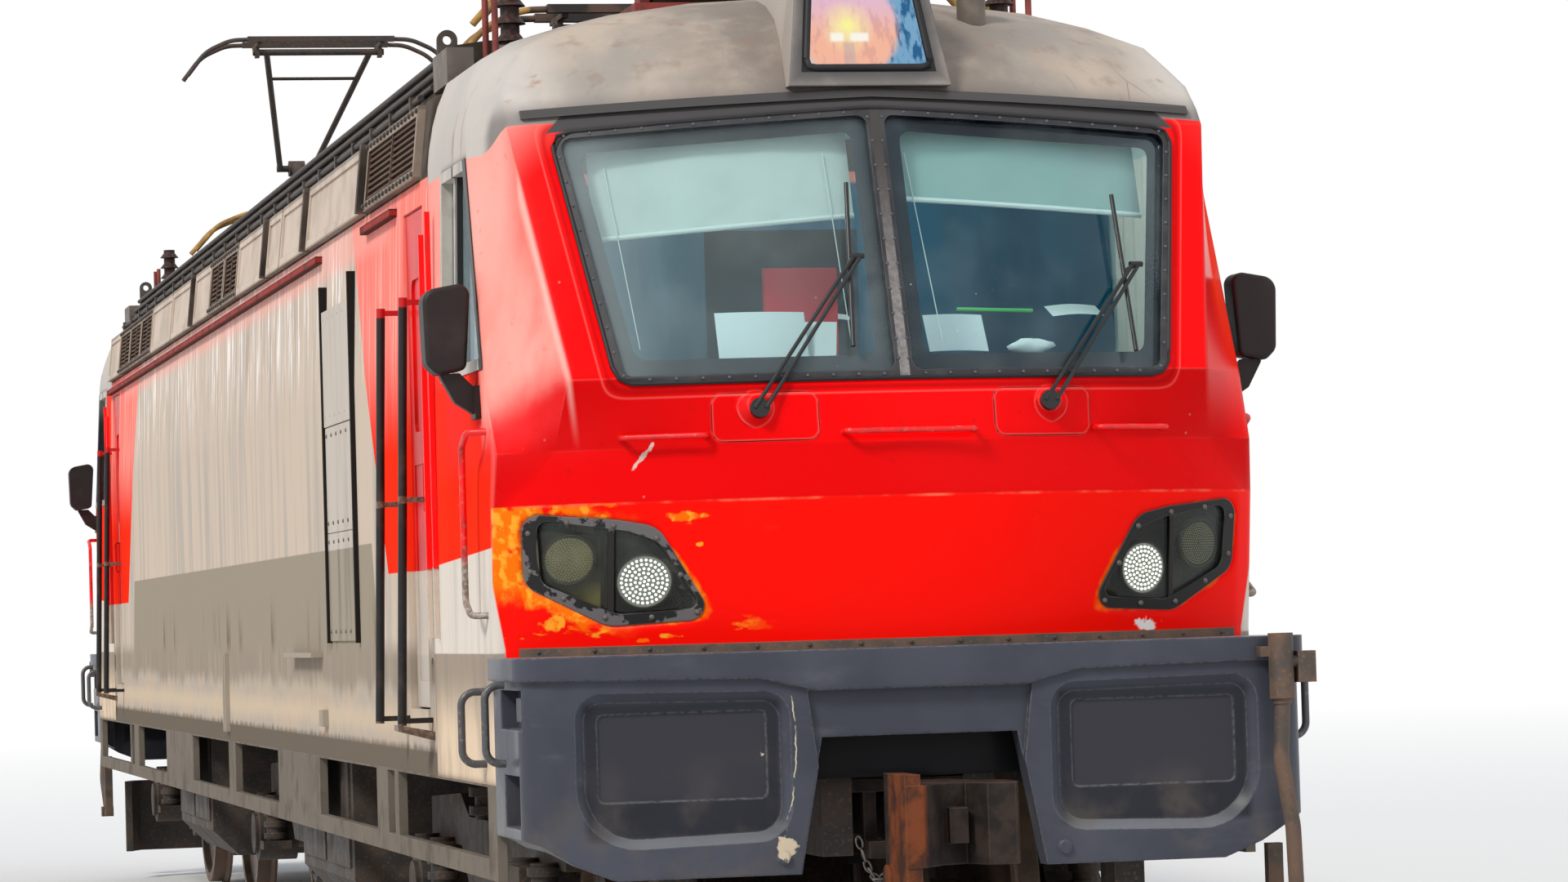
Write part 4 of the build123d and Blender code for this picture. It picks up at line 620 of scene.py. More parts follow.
def frame_paint():
    """Window frames: dark round the windshield; beside it beige with a black seal at the front edge."""
    g = Graph("frame_paint")
    fine = g.noise(50.0, 5.0)
    cloud = g.noise(6.0, 5.0).ramp(0.4, 0.7)
    dark = g.mix(cloud * 0.5, (0.02, 0.02, 0.024), (0.075, 0.07, 0.07))
    post = g.side.below(0.019) * g.z.below(3.83, 0.01)
    grey = g.mix(fine.ramp(0.3, 0.7), (0.14, 0.13, 0.125), (0.24, 0.22, 0.21))
    grey = g.mix(g.z.ramp(3.0, 3.7), grey, (0.045, 0.038, 0.035))
    colour = g.mix(post, dark, grey)
    brow = (g.z - (3.846 - g.side * 0.04)).above(0.0, 0.004)
    colour = g.mix(brow * g.setback.below(1.0, 0.1), colour, (0.045, 0.04, 0.04))
    at_side = g.side.above(1.42, 0.01)
    beige_grey = g.mix(cloud, (0.5, 0.45, 0.39), (0.33, 0.29, 0.25))
    seal = (g.setback - (0.845 + (g.z - 2.86) * 0.4737)).below(0.0, 0.006)
    bars = g.setback.between(1.49, 1.54, 0.004)
    beside = g.mix(seal | bars, beige_grey, (0.014, 0.013, 0.014))
    beside = g.mix(g.z.above(3.722, 0.003), beside, (0.75, 0.06, 0.05))
    colour = g.mix(at_side, colour, beside)
    # Painted highlight: the frames' edges drawn paler
    colour = g.mix(g.edges(0.004) * 0.3, colour, (0.3, 0.28, 0.27))
    return g.finish(colour, 0.42, 0.0, fine, 0.001, 0.2, 0.004, Specular_IOR_Level=0.35)


def roof_paint():
    """Roof gear: grey-brown cases, near-black insulators, brownish red posts and pipes."""
    g = Graph("roof_paint")
    fine = g.noise(45.0, 5.0)
    stain = g.noise(5.0, 6.0).ramp(0.4, 0.66)
    case = g.mix(stain, (0.11, 0.09, 0.075), (0.2, 0.16, 0.13))
    insulator = g.mix(fine.ramp(0.45, 0.65), (0.018, 0.01, 0.009), (0.08, 0.03, 0.022))
    post = g.mix(stain, (0.28, 0.06, 0.045), (0.14, 0.03, 0.025))
    arrester = abs(g.side - 1.075).below(0.072) * g.z.above(4.325) * g.setback.below(2.7, 0.01)
    posts_here = g.side.between(1.148, 1.182) * g.z.above(4.24) * g.setback.below(2.74)
    bars = g.side.between(0.8, 0.96, 0.004) * g.along.below(3.75, 0.01)
    colour = g.mix(arrester, case, insulator)
    colour = g.mix(posts_here, colour, post)
    colour = g.mix(bars * g.z.below(bus_bar_foot), colour, insulator)
    colour = g.mix(bars * g.z.above(bus_bar_foot), colour, post)
    return g.finish(colour, 0.55, 0.0, fine, 0.0015, 0.3, 0.004, Specular_IOR_Level=0.3)


def panto_base_paint():
    """Pantograph bases: brownish red frames on near-black ribbed insulators."""
    g = Graph("panto_base_paint")
    fine = g.noise(50.0, 5.0)
    coarse = g.noise(7.0, 7.0).ramp(0.4, 0.62)
    red = g.mix(coarse, (0.3, 0.045, 0.035), (0.13, 0.03, 0.025))
    insulator = g.mix(coarse, (0.02, 0.011, 0.01), (0.075, 0.028, 0.02))
    below = g.z.below(insulator_top)
    colour = g.mix(below, red, insulator)
    return g.finish(colour, below.blend(0.65, 0.25), 0.0, fine, 0.0015, 0.3, 0.005, Specular_IOR_Level=0.35)


def olive_lens():
    """The unlit lamp behind its cover: fluted olive glass."""
    g = Graph("olive_lens")
    waves = g.math("SINE", g.z * 420.0) * g.math("SINE", g.x * 260.0)
    cloud = g.noise(9.0, 4.0).ramp(0.35, 0.7)
    colour = g.mix(cloud, (0.2, 0.19, 0.14), (0.33, 0.32, 0.24))
    colour = g.mix(waves.ramp(0.2, 0.9) * 0.4, colour, (0.5, 0.5, 0.42))
    colour = g.mix((1.0 - g.left) * 0.9, colour, (0.026, 0.028, 0.026))
    return g.finish(colour, 0.18, 0.0, waves, 0.002, 0.5)


def bumper_paint():
    """Slate end moulding with scuffs and chips to yellow, painted shade in its hollows, a painted highlight
    on its upward faces, and pale edges, partly worn and partly painted highlight.
    """
    g = Graph("bumper_paint")
    fine = g.noise(55.0, 4.0)
    cloud = g.noise(2.2, 6.0).ramp(0.36, 0.68)
    colour = g.mix(cloud, shaded(slate, 1.12), shaded(slate, 1.5))
    scuff = g.noise(6.0, 6.0, (0.35, 1.0, 1.0)).ramp(0.6, 0.8) * 0.3
    colour = g.mix(scuff, colour, (0.17, 0.17, 0.18))
    # Painted shade: the hollows of the lobes and the blank plates are drawn darker
    hollow = g.side.between(0.54, 1.29, 0.02) * g.z.between(1.05, 1.56, 0.02)
    plate = g.side.between(0.593, 1.238) * g.z.between(1.19, 1.52)
    front = g.along.above(10.4, 0.02)
    colour = g.mix(hollow * front * 0.86, colour, (0.016, 0.016, 0.022))
    colour = g.mix(plate * front * 0.5, colour, (0.05, 0.048, 0.058))
    # Painted highlight on faces turned upward, and pale edges, partly wear and partly painted highlight
    colour = g.mix(g.facing()[2].ramp(0.25, 0.8) * 0.55, colour, (0.25, 0.26, 0.27))
    colour = g.mix(g.edges(0.01, 7.0) * fine.ramp(0.3, 0.6) * 0.55, colour, (0.28, 0.29, 0.3))
    turned = g.turned
    rise = 1.4 - g.z
    crack = turned - 0.486 - rise * rise * 0.42 + g.wobble(0.022, 24.0, 6.0)
    crack = abs(crack).below(0.0024, 0.0015) * g.z.between(0.98, 1.6, 0.01)
    crack = crack * g.noise(8.0, 4.0).above(0.4, 0.03) * front
    colour = g.mix(crack, colour, (0.62, 0.55, 0.4))
    hook = g.length(turned - 0.53, g.z - 1.0) + g.wobble(0.12, 17.0, 6.0)
    near_plate = turned.between(0.585, 0.612, 0.006) * g.z.between(1.3, 1.5, 0.02)
    chips = hook.below(0.045, 0.004) | near_plate * g.noise(15.0, 6.0).above(0.54, 0.01)
    colour = g.mix(chips * front, colour, (0.6, 0.5, 0.36))
    dirt = g.z.below(1.2, 0.25) * g.noise(4.0, 6.0).ramp(0.45, 0.7)
    colour = g.mix(dirt * 0.55, colour, (0.12, 0.1, 0.08))
    return g.finish(colour, cloud.blend(0.28, 0.45), 0.0, fine, 0.001, 0.2, 0.014,
                    Specular_IOR_Level=0.14)


def rusty_steel(name, base, patch, share=0.6, rough=0.75, metal=0.25):
    """Cast or rolled steel under rust and grime."""
    g = Graph(name)
    coarse = g.noise(7.0, 7.0).ramp(0.4, 0.62)
    fine = g.noise(60.0, 5.0)
    colour = g.mix(coarse * share, base, patch)
    colour = g.mix(fine.ramp(0.55, 0.7) * 0.35, colour, (0.33, 0.14, 0.05))
    colour = g.mix(g.edges(0.008) * 0.35, colour, (0.25, 0.16, 0.1))
    height = fine + coarse * 0.6
    return g.finish(colour, coarse.blend(rough - 0.15, rough + 0.1), metal, height, 0.003, 0.5, 0.006)


def horn_paint():
    """Lowered pantographs' heads: dark steel with ochre horns."""
    g = Graph("horn_paint")
    coarse = g.noise(8.0, 6.0).ramp(0.4, 0.62)
    steel = g.mix(coarse, steel_grey, steel_rust)
    ochre = g.mix(coarse, (0.48, 0.27, 0.07), (0.25, 0.14, 0.05))
    colour = g.mix(g.side.above(0.62, 0.01), steel, ochre)
    return g.finish(colour, 0.6, 0.0, coarse, 0.002, 0.3, 0.003, Specular_IOR_Level=0.2)


def coupler_steel():
    """Coupler with one bright rusty face and dark grimy sides."""
    g = Graph("coupler_rust")
    coarse = g.noise(9.0, 7.0).ramp(0.38, 0.62)
    fine = g.noise(70.0, 5.0)
    orange = (g.turned * -1.0).below(-0.15, 0.012) * g.along.above(11.0, 0.02)
    dark = g.mix(coarse, (0.014, 0.011, 0.01), (0.036, 0.025, 0.02))
    warm = g.mix(coarse, (0.05, 0.02, 0.012), (0.17, 0.045, 0.015))
    colour = g.mix(orange, dark, warm)
    colour = g.mix(g.edges(0.008) * 0.35, colour, (0.25, 0.14, 0.08))
    return g.finish(colour, 0.72, 0.2, fine + coarse, 0.004, 0.55, 0.008, Specular_IOR_Level=0.2)


def flaked_black():
    """Lamp units: grey frame with flakes of black, and a dark olive bowl inside it."""
    g = Graph("flaked_black")
    reach = g.outside(lamp_outline, g.side, g.z, 0.1)
    left = g.left
    flakes = g.noise(11.0, 7.0, (0.6, 1.0, 1.0), 0.62) - reach * 2.6
    flake = (flakes + left.blend(0.3, 0.0)).above(0.515, 0.012)
    fine = g.noise(60.0, 4.0)
    colour = g.mix(flake, (0.125, 0.115, 0.12), near_black)
    # Painted highlight: a thin pale line along the frame's edges
    colour = g.mix(g.edges(0.004) * 0.4, colour, (0.4, 0.36, 0.34))
    bowl = reach.below(-0.047)
    colour = g.mix(reach.between(-0.06, -0.04, 0.003), colour, (0.012, 0.01, 0.009))
    olive = g.mix(g.side.above(1.108, 0.01), (0.03, 0.026, 0.021), (0.075, 0.068, 0.043))
    worn = (g.z + g.side * 0.55).below(2.66, 0.07) * g.side.above(1.125, 0.01)
    worn = worn * g.noise(7.0, 4.0).ramp(0.3, 0.6)
    olive = g.mix(worn * left.blend(0.08, 1.0), olive, (0.38, 0.33, 0.16))
    olive = g.mix((1.0 - left) * 0.75, olive, (0.012, 0.011, 0.011))
    colour = g.mix(bowl, colour, olive)
    divider = g.side.between(1.084, 1.132, 0.003) * reach.below(-0.035, 0.004)
    colour = g.mix(divider, colour, (0.018, 0.015, 0.013))
    height = (1.0 - bowl) * (fine + flake)
    return g.finish(colour, bowl.blend(0.5, 0.4), 0.0, height, 0.0015, 0.3, 0.004,
                    Specular_IOR_Level=0.25)


def clear_shader(g, tint, rough, dusty, most=1.0):
    """Thin clear glass with a film of dust, thicker on the left pane as a painted reflection, showing what
    lies behind it; most limits its mirror share.
    """
    film = g.noise(3.0, 6.0).ramp(0.4, 0.7) * dusty
    # Painted reflection: the film is thicker on the left pane and towards its outer edge
    turned = g.turned * g.z.above(2.6)
    film = film + turned.ramp(0.0, 0.1) * (dusty * 1.6)
    film = film + turned.ramp(0.8, 1.15) * (dusty * 3.0)
    specks = g.cells(16.0).below(0.05, 0.015) * g.noise(2.1).ramp(0.55, 0.62)
    clear = g.node("BsdfTransparent", {"Color": tint}).outputs[0]
    gloss = g.node("BsdfGlossy", {"Color": (0.9, 0.95, 1.0), "Roughness": rough}).outputs[0]
    haze = g.node("BsdfDiffuse", {"Color": (0.6, 0.66, 0.66)}).outputs[0]
    mirrored = g.math("MINIMUM", g.node("Fresnel", {"IOR": 1.45}).outputs[0], most)
    reflect = g.mix_shader(mirrored * 0.4, clear, gloss)
    return g.mix_shader(film + specks * 0.5, reflect, haze)


def pane_glass(name, tint, rough, dusty):
    """Glass of the cab's windows."""
    g = Graph(name)
    return g.show(clear_shader(g, tint, rough, dusty))


def lamp_cover_glass():
    """Covers of the headlamps, and the roof lamp's pane, which gives off painted reflections of a warm bowl
    and a blue edge as light.
    """
    g = Graph("lamp_cover")
    cover = clear_shader(g, (0.8, 0.8, 0.72), 0.05, 0.03, 0.06)
    # Seen from its own end, across the pane
    dx, dz = g.turned * -1.0 + 0.065, g.z - 4.16
    # The roof lamp's pane glows with painted reflections: a warm disc, bright bulbs and a spark, over a pale
    # and blue edge
    reach = g.length(dx, dz)
    flutes = g.noise(34.0, 5.0, (1.0, 1.0, 0.25))
    blue = g.mix(flutes.ramp(0.45, 0.6), (0.2, 0.4, 0.6), (0.03, 0.13, 0.28))
    dull = g.mix(dx.above(0.05, 0.05), (0.62, 0.6, 0.6), blue)
    warm = g.mix(g.z.ramp(4.1, 4.3), (0.95, 0.5, 0.36), (0.8, 0.52, 0.66))
    warm = g.mix(flutes.ramp(0.5, 0.62) * 0.4, warm, (0.6, 0.3, 0.3))
    glow = g.mix((reach + flutes * 0.05).below(0.225, 0.02), dull, warm)
    glow = g.mix((reach + flutes * 0.06).below(0.1, 0.05), glow, (1.0, 0.84, 0.42))
    for at_x, wide in ((-0.045, 0.026), (0.045, 0.036)):
        bulb = abs(dx - at_x).below(wide, 0.008) * dz.between(-0.056, -0.022, 0.008)
        glow = g.mix(bulb, glow, (1.0, 0.97, 0.86))
    spark = g.length(dx, dz - 0.01)
    glow = g.mix((spark + flutes * 0.03).below(0.035, 0.02), glow, (1.0, 1.0, 0.3))
    column = abs(dx).below(0.022, 0.006) * dz.below(-0.06, 0.01)
    glow = g.mix(column * 0.7, glow, (0.6, 0.45, 0.4))
    light = g.node("Emission", {"Color": glow, "Strength": 0.95}).outputs[0]
    return g.show(g.mix_shader(g.z.above(3.9), cover, light))


def plastic(name, colour, rough=0.5, grain=90.0, strength=0.2):
    """Moulded plastic or rubber with a fine grain and a little dust."""
    g = Graph(name)
    fine = g.noise(grain, 4.0)
    dusted = g.noise(6.0, 5.0).ramp(0.5, 0.75) * 0.3
    shade = g.mix(dusted, colour, shaded(colour, 1.5, 0.03))
    return g.finish(shade, dusted.blend(rough, rough + 0.2), 0.0, fine, 0.0008, strength, 0.003,
                    Specular_IOR_Level=0.3)


def glowing(name, colour, strength):
    """A lit lamp."""
    g = Graph(name)
    return g.show(g.node("Emission", {"Color": colour, "Strength": strength}).outputs[0])


def woven(name, colour, in_shade=None):
    """Cloth with a plain weave, in a second colour where it hangs in the shaded half of the cab."""
    g = Graph(name)
    threads = 260.0 * 6.283
    weave = (g.math("SINE", g.x * threads) + g.math("SINE", g.z * threads)) * 0.25
    cloud = g.noise(4.0, 4.0).ramp(0.4, 0.7)
    worn = (0.4, 0.42, 0.4) if in_shade else shaded(colour, 0.7)
    if in_shade:
        colour = g.mix(g.left, in_shade, colour)
    shade = g.mix(cloud * 0.3, colour, worn)
    return g.finish(shade, 0.85, 0.0, weave, 0.001, 0.3, 0.0, Sheen_Weight=0.3)


def dress(material, *names):
    """Gives CAD nodes one material. A name that ends in a star stands for all that start so."""
    for name in names:
        for node in nodes:
            if node == name or (name.endswith("*") and node.startswith(name[:-1])):
                mesh = nodes[node].data
                mesh.materials.clear()
                mesh.materials.append(material)


def new_mesh(name, vertices, faces, material, smooth=False):
    """A mesh piece that rides on the body."""
    mesh = bpy.data.meshes.new(name)
    mesh.from_pydata([tuple(v) for v in vertices], [], faces)
    mesh.validate()
    mesh.update()
    for polygon in mesh.polygons:
        polygon.use_smooth = smooth
    mesh.materials.append(material)
    thing = bpy.data.objects.new(name, mesh)
    bpy.context.scene.collection.objects.link(thing)
    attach(thing, "body")
    return thing


def circle(steps, count=None):
    """Even angles round a circle, one more than its steps where it closes."""
    return [2 * math.pi * step / steps for step in range(count or steps)]


def closed(points):
    return points + points[:1]


def square_axes(direction):
    """A direction of length 1 and two directions square to it."""
    axis = Vector(direction).normalized()
    helper = Vector((0, 0, 1)) if abs(axis.z) < 0.9 else Vector((1, 0, 0))
    u = axis.cross(helper).normalized()
    return axis, u, axis.cross(u)


def grid_faces(rows, width, around=False, first=0):
    """Faces between rows of points, which close round where the rows are rings."""
    faces = []
    for row in range(rows - 1):
        for step in range(width if around else width - 1):
            a = first + row * width + step
            b = first + row * width + (step + 1) % width
            faces.append((a, b, b + width, a + width))
    return faces


class Pile:
    """Many small forms collected into one mesh."""

    def __init__(self):
        self.vertices = []
        self.faces = []

    def add(self, vertices, faces, turned=True):
        """Adds a form, and its copy turned to the other end."""
        for sign in ((1, -1) if turned else (1,)):
            start = len(self.vertices)
            self.vertices += [Vector((v[0] * sign, v[1] * sign, v[2])) for v in vertices]
            self.faces += [tuple(start + i for i in face) for face in faces]

    def bolt(self, centre, direction, radius, height, sides=8):
        """A domed bolt or screw head."""
        axis, u, v = square_axes(direction)
        vertices = []
        for scale, rise in ((1.0, -0.3), (1.0, 0.45), (0.6, 0.9)):
            for angle in circle(sides):
                out = u * math.cos(angle) + v * math.sin(angle)
                vertices.append(Vector(centre) + out * radius * scale + axis * height * rise)
        vertices.append(Vector(centre) + axis * height)
        top, tip = 2 * sides, 3 * sides
        faces = grid_faces(3, sides, around=True)
        faces += [(top + step, top + (step + 1) % sides, tip) for step in range(sides)]
        self.add(vertices, faces)

    def tube(self, points, radius, turned=True, sides=8):
        """A round tube through points."""
        points = [Vector(p) for p in points]
        vertices = []
        for before, point, after in zip(points[:1] + points, points, points[1:] + points[-1:]):
            _, u, v = square_axes(after - before)
            vertices += [point + (u * math.cos(angle) + v * math.sin(angle)) * radius
                         for angle in circle(sides)]
        last = (len(points) - 1) * sides
        faces = grid_faces(len(points), sides, around=True)
        faces += [tuple(range(sides - 1, -1, -1)), tuple(range(last, last + sides))]
        self.add(vertices, faces, turned)

    def block(self, low, high):
        """A box-shaped strip."""
        ends = list(zip(low, high))
        vertices = [(x, y, z) for x in ends[0] for y in ends[1] for z in ends[2]]
        faces = [(0, 1, 3, 2), (4, 6, 7, 5), (0, 4, 5, 1), (2, 3, 7, 6), (0, 2, 6, 4), (1, 5, 7, 3)]
        self.add(vertices, faces)

    def piece(self, name, material, slot, smooth=False):
        return new_mesh(name, self.vertices, self.faces, material, smooth)


def nose_setback(x, z):
    """Setback of the nose's curved front at a place."""
    for low, high in zip(nose_rows, nose_rows[1:]):
        if low[0] <= z <= high[0]:
            share = (z - low[0]) / (high[0] - low[0])
            found = []
            for _, centre, ridge_x, ridge_s in (low, high):
                depth = ridge_s - centre
                radius = (ridge_x ** 2 + depth ** 2) / (2 * depth)
                found.append(centre + radius - math.sqrt(radius ** 2 - x ** 2))
            return found[0] + share * (found[1] - found[0])
    raise ValueError("height outside the nose")


def on_nose(x, z, out=0.0):
    """A point on the nose's front, moved out from it."""
    return Vector((x, -nose_plane + nose_setback(x, z) - out, z))


def rounded(points, radius, steps=5):
    """A closed outline with its corners rounded."""
    corners = [Vector(p) for p in points]
    result = []
    for before, corner, after in zip(corners[-1:] + corners, corners, corners[1:] + corners[:1]):
        back, forth = before - corner, after - corner
        cut = min(radius, back.length * 0.45, forth.length * 0.45)
        a, b = corner + back.normalized() * cut, corner + forth.normalized() * cut
        for step in range(steps + 1):
            share = step / steps
            result.append(a.lerp(corner, share).lerp(corner.lerp(b, share), share))
    return result


def resample(points, pitch):
    """Points at even steps along a closed outline."""
    loop = closed(points)
    result = []
    left = 0.0
    for a, b in zip(loop, loop[1:]):
        length = (b - a).length
        while left < length:
            result.append(a.lerp(b, left / length))
            left += pitch
        left -= length
    return result


def shrunk(outline, margin):
    """An outline moved inward by a margin, by crossing its moved sides."""
    lines = [(start + normal * margin, along) for start, along, normal in sides_of(outline)]
    result = []
    for (p, d), (q, e) in zip(lines[-1:] + lines, lines):
        cross = d.x * e.y - d.y * e.x
        share = ((q.x - p.x) * e.y - (q.y - p.y) * e.x) / cross
        result.append(p + d * share)
    return result


def windshield_trim():
    """Dark printed border inside each pane, and the small screws of the frame."""
    behind_pane = -0.031
    border, screws = Pile(), Pile()
    for mirror in (1, -1):
        outer = rounded(shrunk(pane_outline, -0.004), 0.05)
        inner = rounded(shrunk(pane_outline, 0.062), 0.045)
        vertices = [on_nose(mirror * p.x, p.y, behind_pane) for pair in zip(outer, inner) for p in pair]
        faces = []
        for index in range(len(outer)):
            after = (index + 1) % len(outer)
            faces.append((2 * index, 2 * after, 2 * after + 1, 2 * index + 1))
        border.add(vertices, faces)
        for p in resample(rounded(shrunk(pane_outline, -0.014), 0.06), 0.098):
            screws.bolt(on_nose(mirror * p.x, p.y, 0.006), (0, -1, 0.35), 0.0065, 0.004)
    border.piece("pane_border", border_black, "rubber_black")
    screws.piece("frame_screws", screw_steel, "rubber_black")


def blinds():
    """Roller blinds half down behind both panes, with their rails."""
    top, behind_pane = 3.86, 0.115
    columns, lines = 24, 10
    width = columns + 1
    # x at the start and end, and the foot's z there
    places = [(-1.10, -0.10, 3.335, 3.41), (0.09, 1.10, 3.475, 3.41)]
    for index, (x0, x1, z0, z1) in enumerate(places):
        for end, end_name in ((1, "front"), (-1, "rear")):
            vertices = []
            for line in range(lines + 1):
                for column in range(width):
                    share = column / columns
                    x = x0 + (x1 - x0) * share
                    foot = z0 + (z1 - z0) * share
                    z = top + (foot - top) * line / lines
                    ripple = 0.004 * math.sin(share * 23 + line * 0.4) * line / lines
                    y = -nose_plane + nose_setback(x, min(max(z, 2.8), 3.84)) + behind_pane + ripple
                    vertices.append((x * end, y * end, z))
            name = f"blind_{index + 1}_{end_name}"
            faces = grid_faces(lines + 1, width)
            blind = new_mesh(name, vertices, faces, blind_cloth, True)
            rails = Pile()
            rails.tube(vertices[lines * width::3], 0.011, turned=False)
            rails.tube(vertices[:width:3], 0.024, turned=False)
            rails.piece(f"{name}_rails", blind_rail, "desk_plastic")


def domed_disc(cx, cz, radius, rise, seat):
    """Points and faces of a disc on the nose, domed outward."""
    rings, steps = 5, 32
    vertices = [on_nose(cx, cz, seat + rise)]
    for ring in range(1, rings + 1):
        away = radius * ring / rings
        lift = rise * (1 - (ring / rings) ** 2)
        vertices += [on_nose(cx + away * math.cos(angle), cz + away * math.sin(angle), seat + lift)
                     for angle in circle(steps)]
    faces = [(0, 1 + (step + 1) % steps, 1 + step) for step in range(steps)]
    return vertices, faces + grid_faces(rings, steps, around=True, first=1)


def lamp_units():
    """Lamp bowls, the lit diode disc, dotted outer lens and frame bolts."""
    dots, ribs, bolts, rims, glow, lenses = [Pile() for _ in range(6)]
    for mirror in (1, -1):
        cx, cz = mirror * lit_disc[0], lit_disc[1]
        base = on_nose(cx, cz, -0.030)
        for ring in range(6):
            away = 0.095 * 0.86 * ring / 5
            for angle in circle(max(1, ring * 6)):
                x = cx + away * math.cos(angle + ring * 0.3)
                z = cz + away * math.sin(angle + ring * 0.3)
                spot = Vector((x, base.y + (nose_setback(x, z) - nose_setback(cx, cz)), z))
                dots.bolt(spot, (0, -1, 0), 0.0058, 0.006)
        glow.add(*domed_disc(cx, cz, 0.097, 0.004, -0.034))
        far_x, far_z = mirror * olive_disc[0], olive_disc[1]
        for ring in range(1, 9):
            away = 0.082 * ring / 8.5
            for angle in circle(ring * 6):
                spot = on_nose(far_x + away * math.cos(angle), far_z + away * math.sin(angle), -0.031)
                ribs.bolt(spot, (mirror * 0.3, -1, 0), 0.0036, 0.004, sides=6)
        lenses.add(*domed_disc(far_x, far_z, 0.086, 0.006, -0.034))
        for x, z, radius in ((cx, cz, 0.1), (far_x, far_z, 0.093)):
            rims.tube([on_nose(x + radius * math.cos(a), z + radius * math.sin(a), -0.030)
                       for a in circle(40, 41)], 0.0045, sides=6)
        for p in resample(rounded(shrunk(lamp_outline, 0.022), 0.05), 0.165):
            bolts.bolt(on_nose(mirror * p.x, p.y, 0.006), (mirror * 0.35, -1, 0), 0.011, 0.007)
    dots.piece("diodes", lamp_light, "lamp_black")
    glow.piece("diode_discs", lamp_glow, "lamp_black", smooth=True)
    lenses.piece("outer_lenses", olive_lens(), "lamp_black", smooth=True)
    ribs.piece("outer_lens_dots", lens_dots, "lamp_black")
    rims.piece("lamp_rims", dark_metal, "lamp_black")
    bolts.piece("lamp_bolts", worn_bolt, "lamp_black")


def nose_seams():
    """Dark joint round the windshield surround, the wiper hatches and the strip over the bumper."""
    seal, hatch_lines, strip, strip_bolts = [Pile() for _ in range(4)]
    seal_outline = [(-1.085, 2.762), (1.085, 2.762), (1.249, 3.757), (0, 3.834), (-1.249, 3.757)]
    loop = closed(resample(rounded(seal_outline, 0.07, 6), 0.05))
    seal.tube([on_nose(p.x, p.y, 0.003) for p in loop], 0.009, sides=6)
    seal.piece("windshield_seal", rubber, "rubber_black")
    hatch = [(0.345, 2.535), (0.738, 2.535), (0.738, 2.715), (0.345, 2.715)]
    loop = closed(resample(rounded(hatch, 0.045), 0.03))
    for mirror in (1, -1):
        hatch_lines.tube([on_nose(mirror * p.x, p.y, 0.001) for p in loop], 0.0035, sides=5)
    hatch_lines.piece("hatch_joints", joint_dark, "cab_paint")
    # The strip is a bar of four edges, bent along the nose
    bar = [Vector((0, 0, 0)), Vector((0, 0, 0.036)), Vector((0, 0.03, 0.036)), Vector((0, 0.03, 0))]
    path = [on_nose(-1.43 + 2.86 * step / 40, 1.738, 0.012) for step in range(41)]
    faces = [(a, d, c, b) for a, b, c, d in grid_faces(41, 4, around=True)]
    strip.add([p + corner for p in path for corner in bar], faces)
    strip.piece("bumper_strip", brown_strip, "bumper_grey")
    for step in range(15):
        strip_bolts.bolt(on_nose(-1.36 + 2.72 * step / 14, 1.757, 0.012), (0, -1, 0), 0.009, 0.006)
    strip_bolts.piece("strip_bolts", dark_metal, "bumper_grey")


def side_details():
    """Ribs beside the doors and rivets of the covers on both sides, and the side windows' curtains."""
    rivets, ribs, feet, curtains = [Pile() for _ in range(4)]
    for mirror in (1, -1):
        near, far = sorted((mirror * body_half, mirror * body_half + mirror * 0.022))
        for setback, top in ((2.07, 3.58), (2.264, 3.50)):
            y = -nose_plane + setback
            ribs.block((near, y - 0.011, red_foot), (far, y + 0.011, top))
            feet.block((near, y - 0.006, 1.82), (far, y + 0.006, red_foot))
    for z in (1.86, 2.29, 2.38, 2.80, 2.89, 3.36):
        for step in range(6):
            y = -nose_plane + 4.72 + 0.93 * step / 5
            rivets.bolt((-body_half - 0.009, y, z), (-1, 0, 0), 0.010, 0.006)
    rivets.piece("cover_rivets", worn_bolt, "body_paint")
    ribs.piece("side_ribs", red_trim, "body_paint")
    feet.piece("side_rib_feet", pale_trim, "body_paint")
    for mirror in (1, -1):
        for pleat in range(12):
            (x0, y0), (x1, y1) = [(mirror * (1.36 + 0.012 * (fold % 2)), -nose_plane + (0.98 + fold * 0.075))
                                  for fold in (pleat, pleat + 1)]
            curtains.add([(x0, y0, 2.85), (x1, y1, 2.85), (x1, y1, 3.72), (x0, y0, 3.72)], [(0, 1, 2, 3)])
    curtains.piece("side_curtains", curtain_cloth, "desk_plastic")


def roof_details():
    """Bolts on the rims of the louvres."""
    bolts = Pile()
    for start, end in grilles:
        count = max(3, round((end - start) / 0.12))
        for z, lean in ((3.778, 1.527), (4.045, 1.498)):
            for step in range(count + 1):
                setback = start + 0.03 + (end - start - 0.06) * step / count
                bolts.bolt((-lean, -nose_plane + setback, z), (-1, 0, 0.1), 0.012, 0.008)
    bolts.piece("grille_bolts", dark_metal, "roof_grey")


def roof_lamp_gasket():
    """Rubber round the roof lamp's pane, on the housing's leaning face."""
    gasket = Pile()
    path = []
    for p in closed(resample(rounded(roof_pane, 0.035), 0.03)):
        setback = 0.560 + (p.y - 4.060) * 0.294 if p.y > 4.06 else 0.515 + (p.y - 3.922) * 0.326
        path.append(Vector((p.x, -nose_plane + setback - 0.002, p.y)))
    gasket.tube(path, 0.014)
    gasket.piece("roof_lamp_gasket", rubber, "roof_grey", smooth=True)


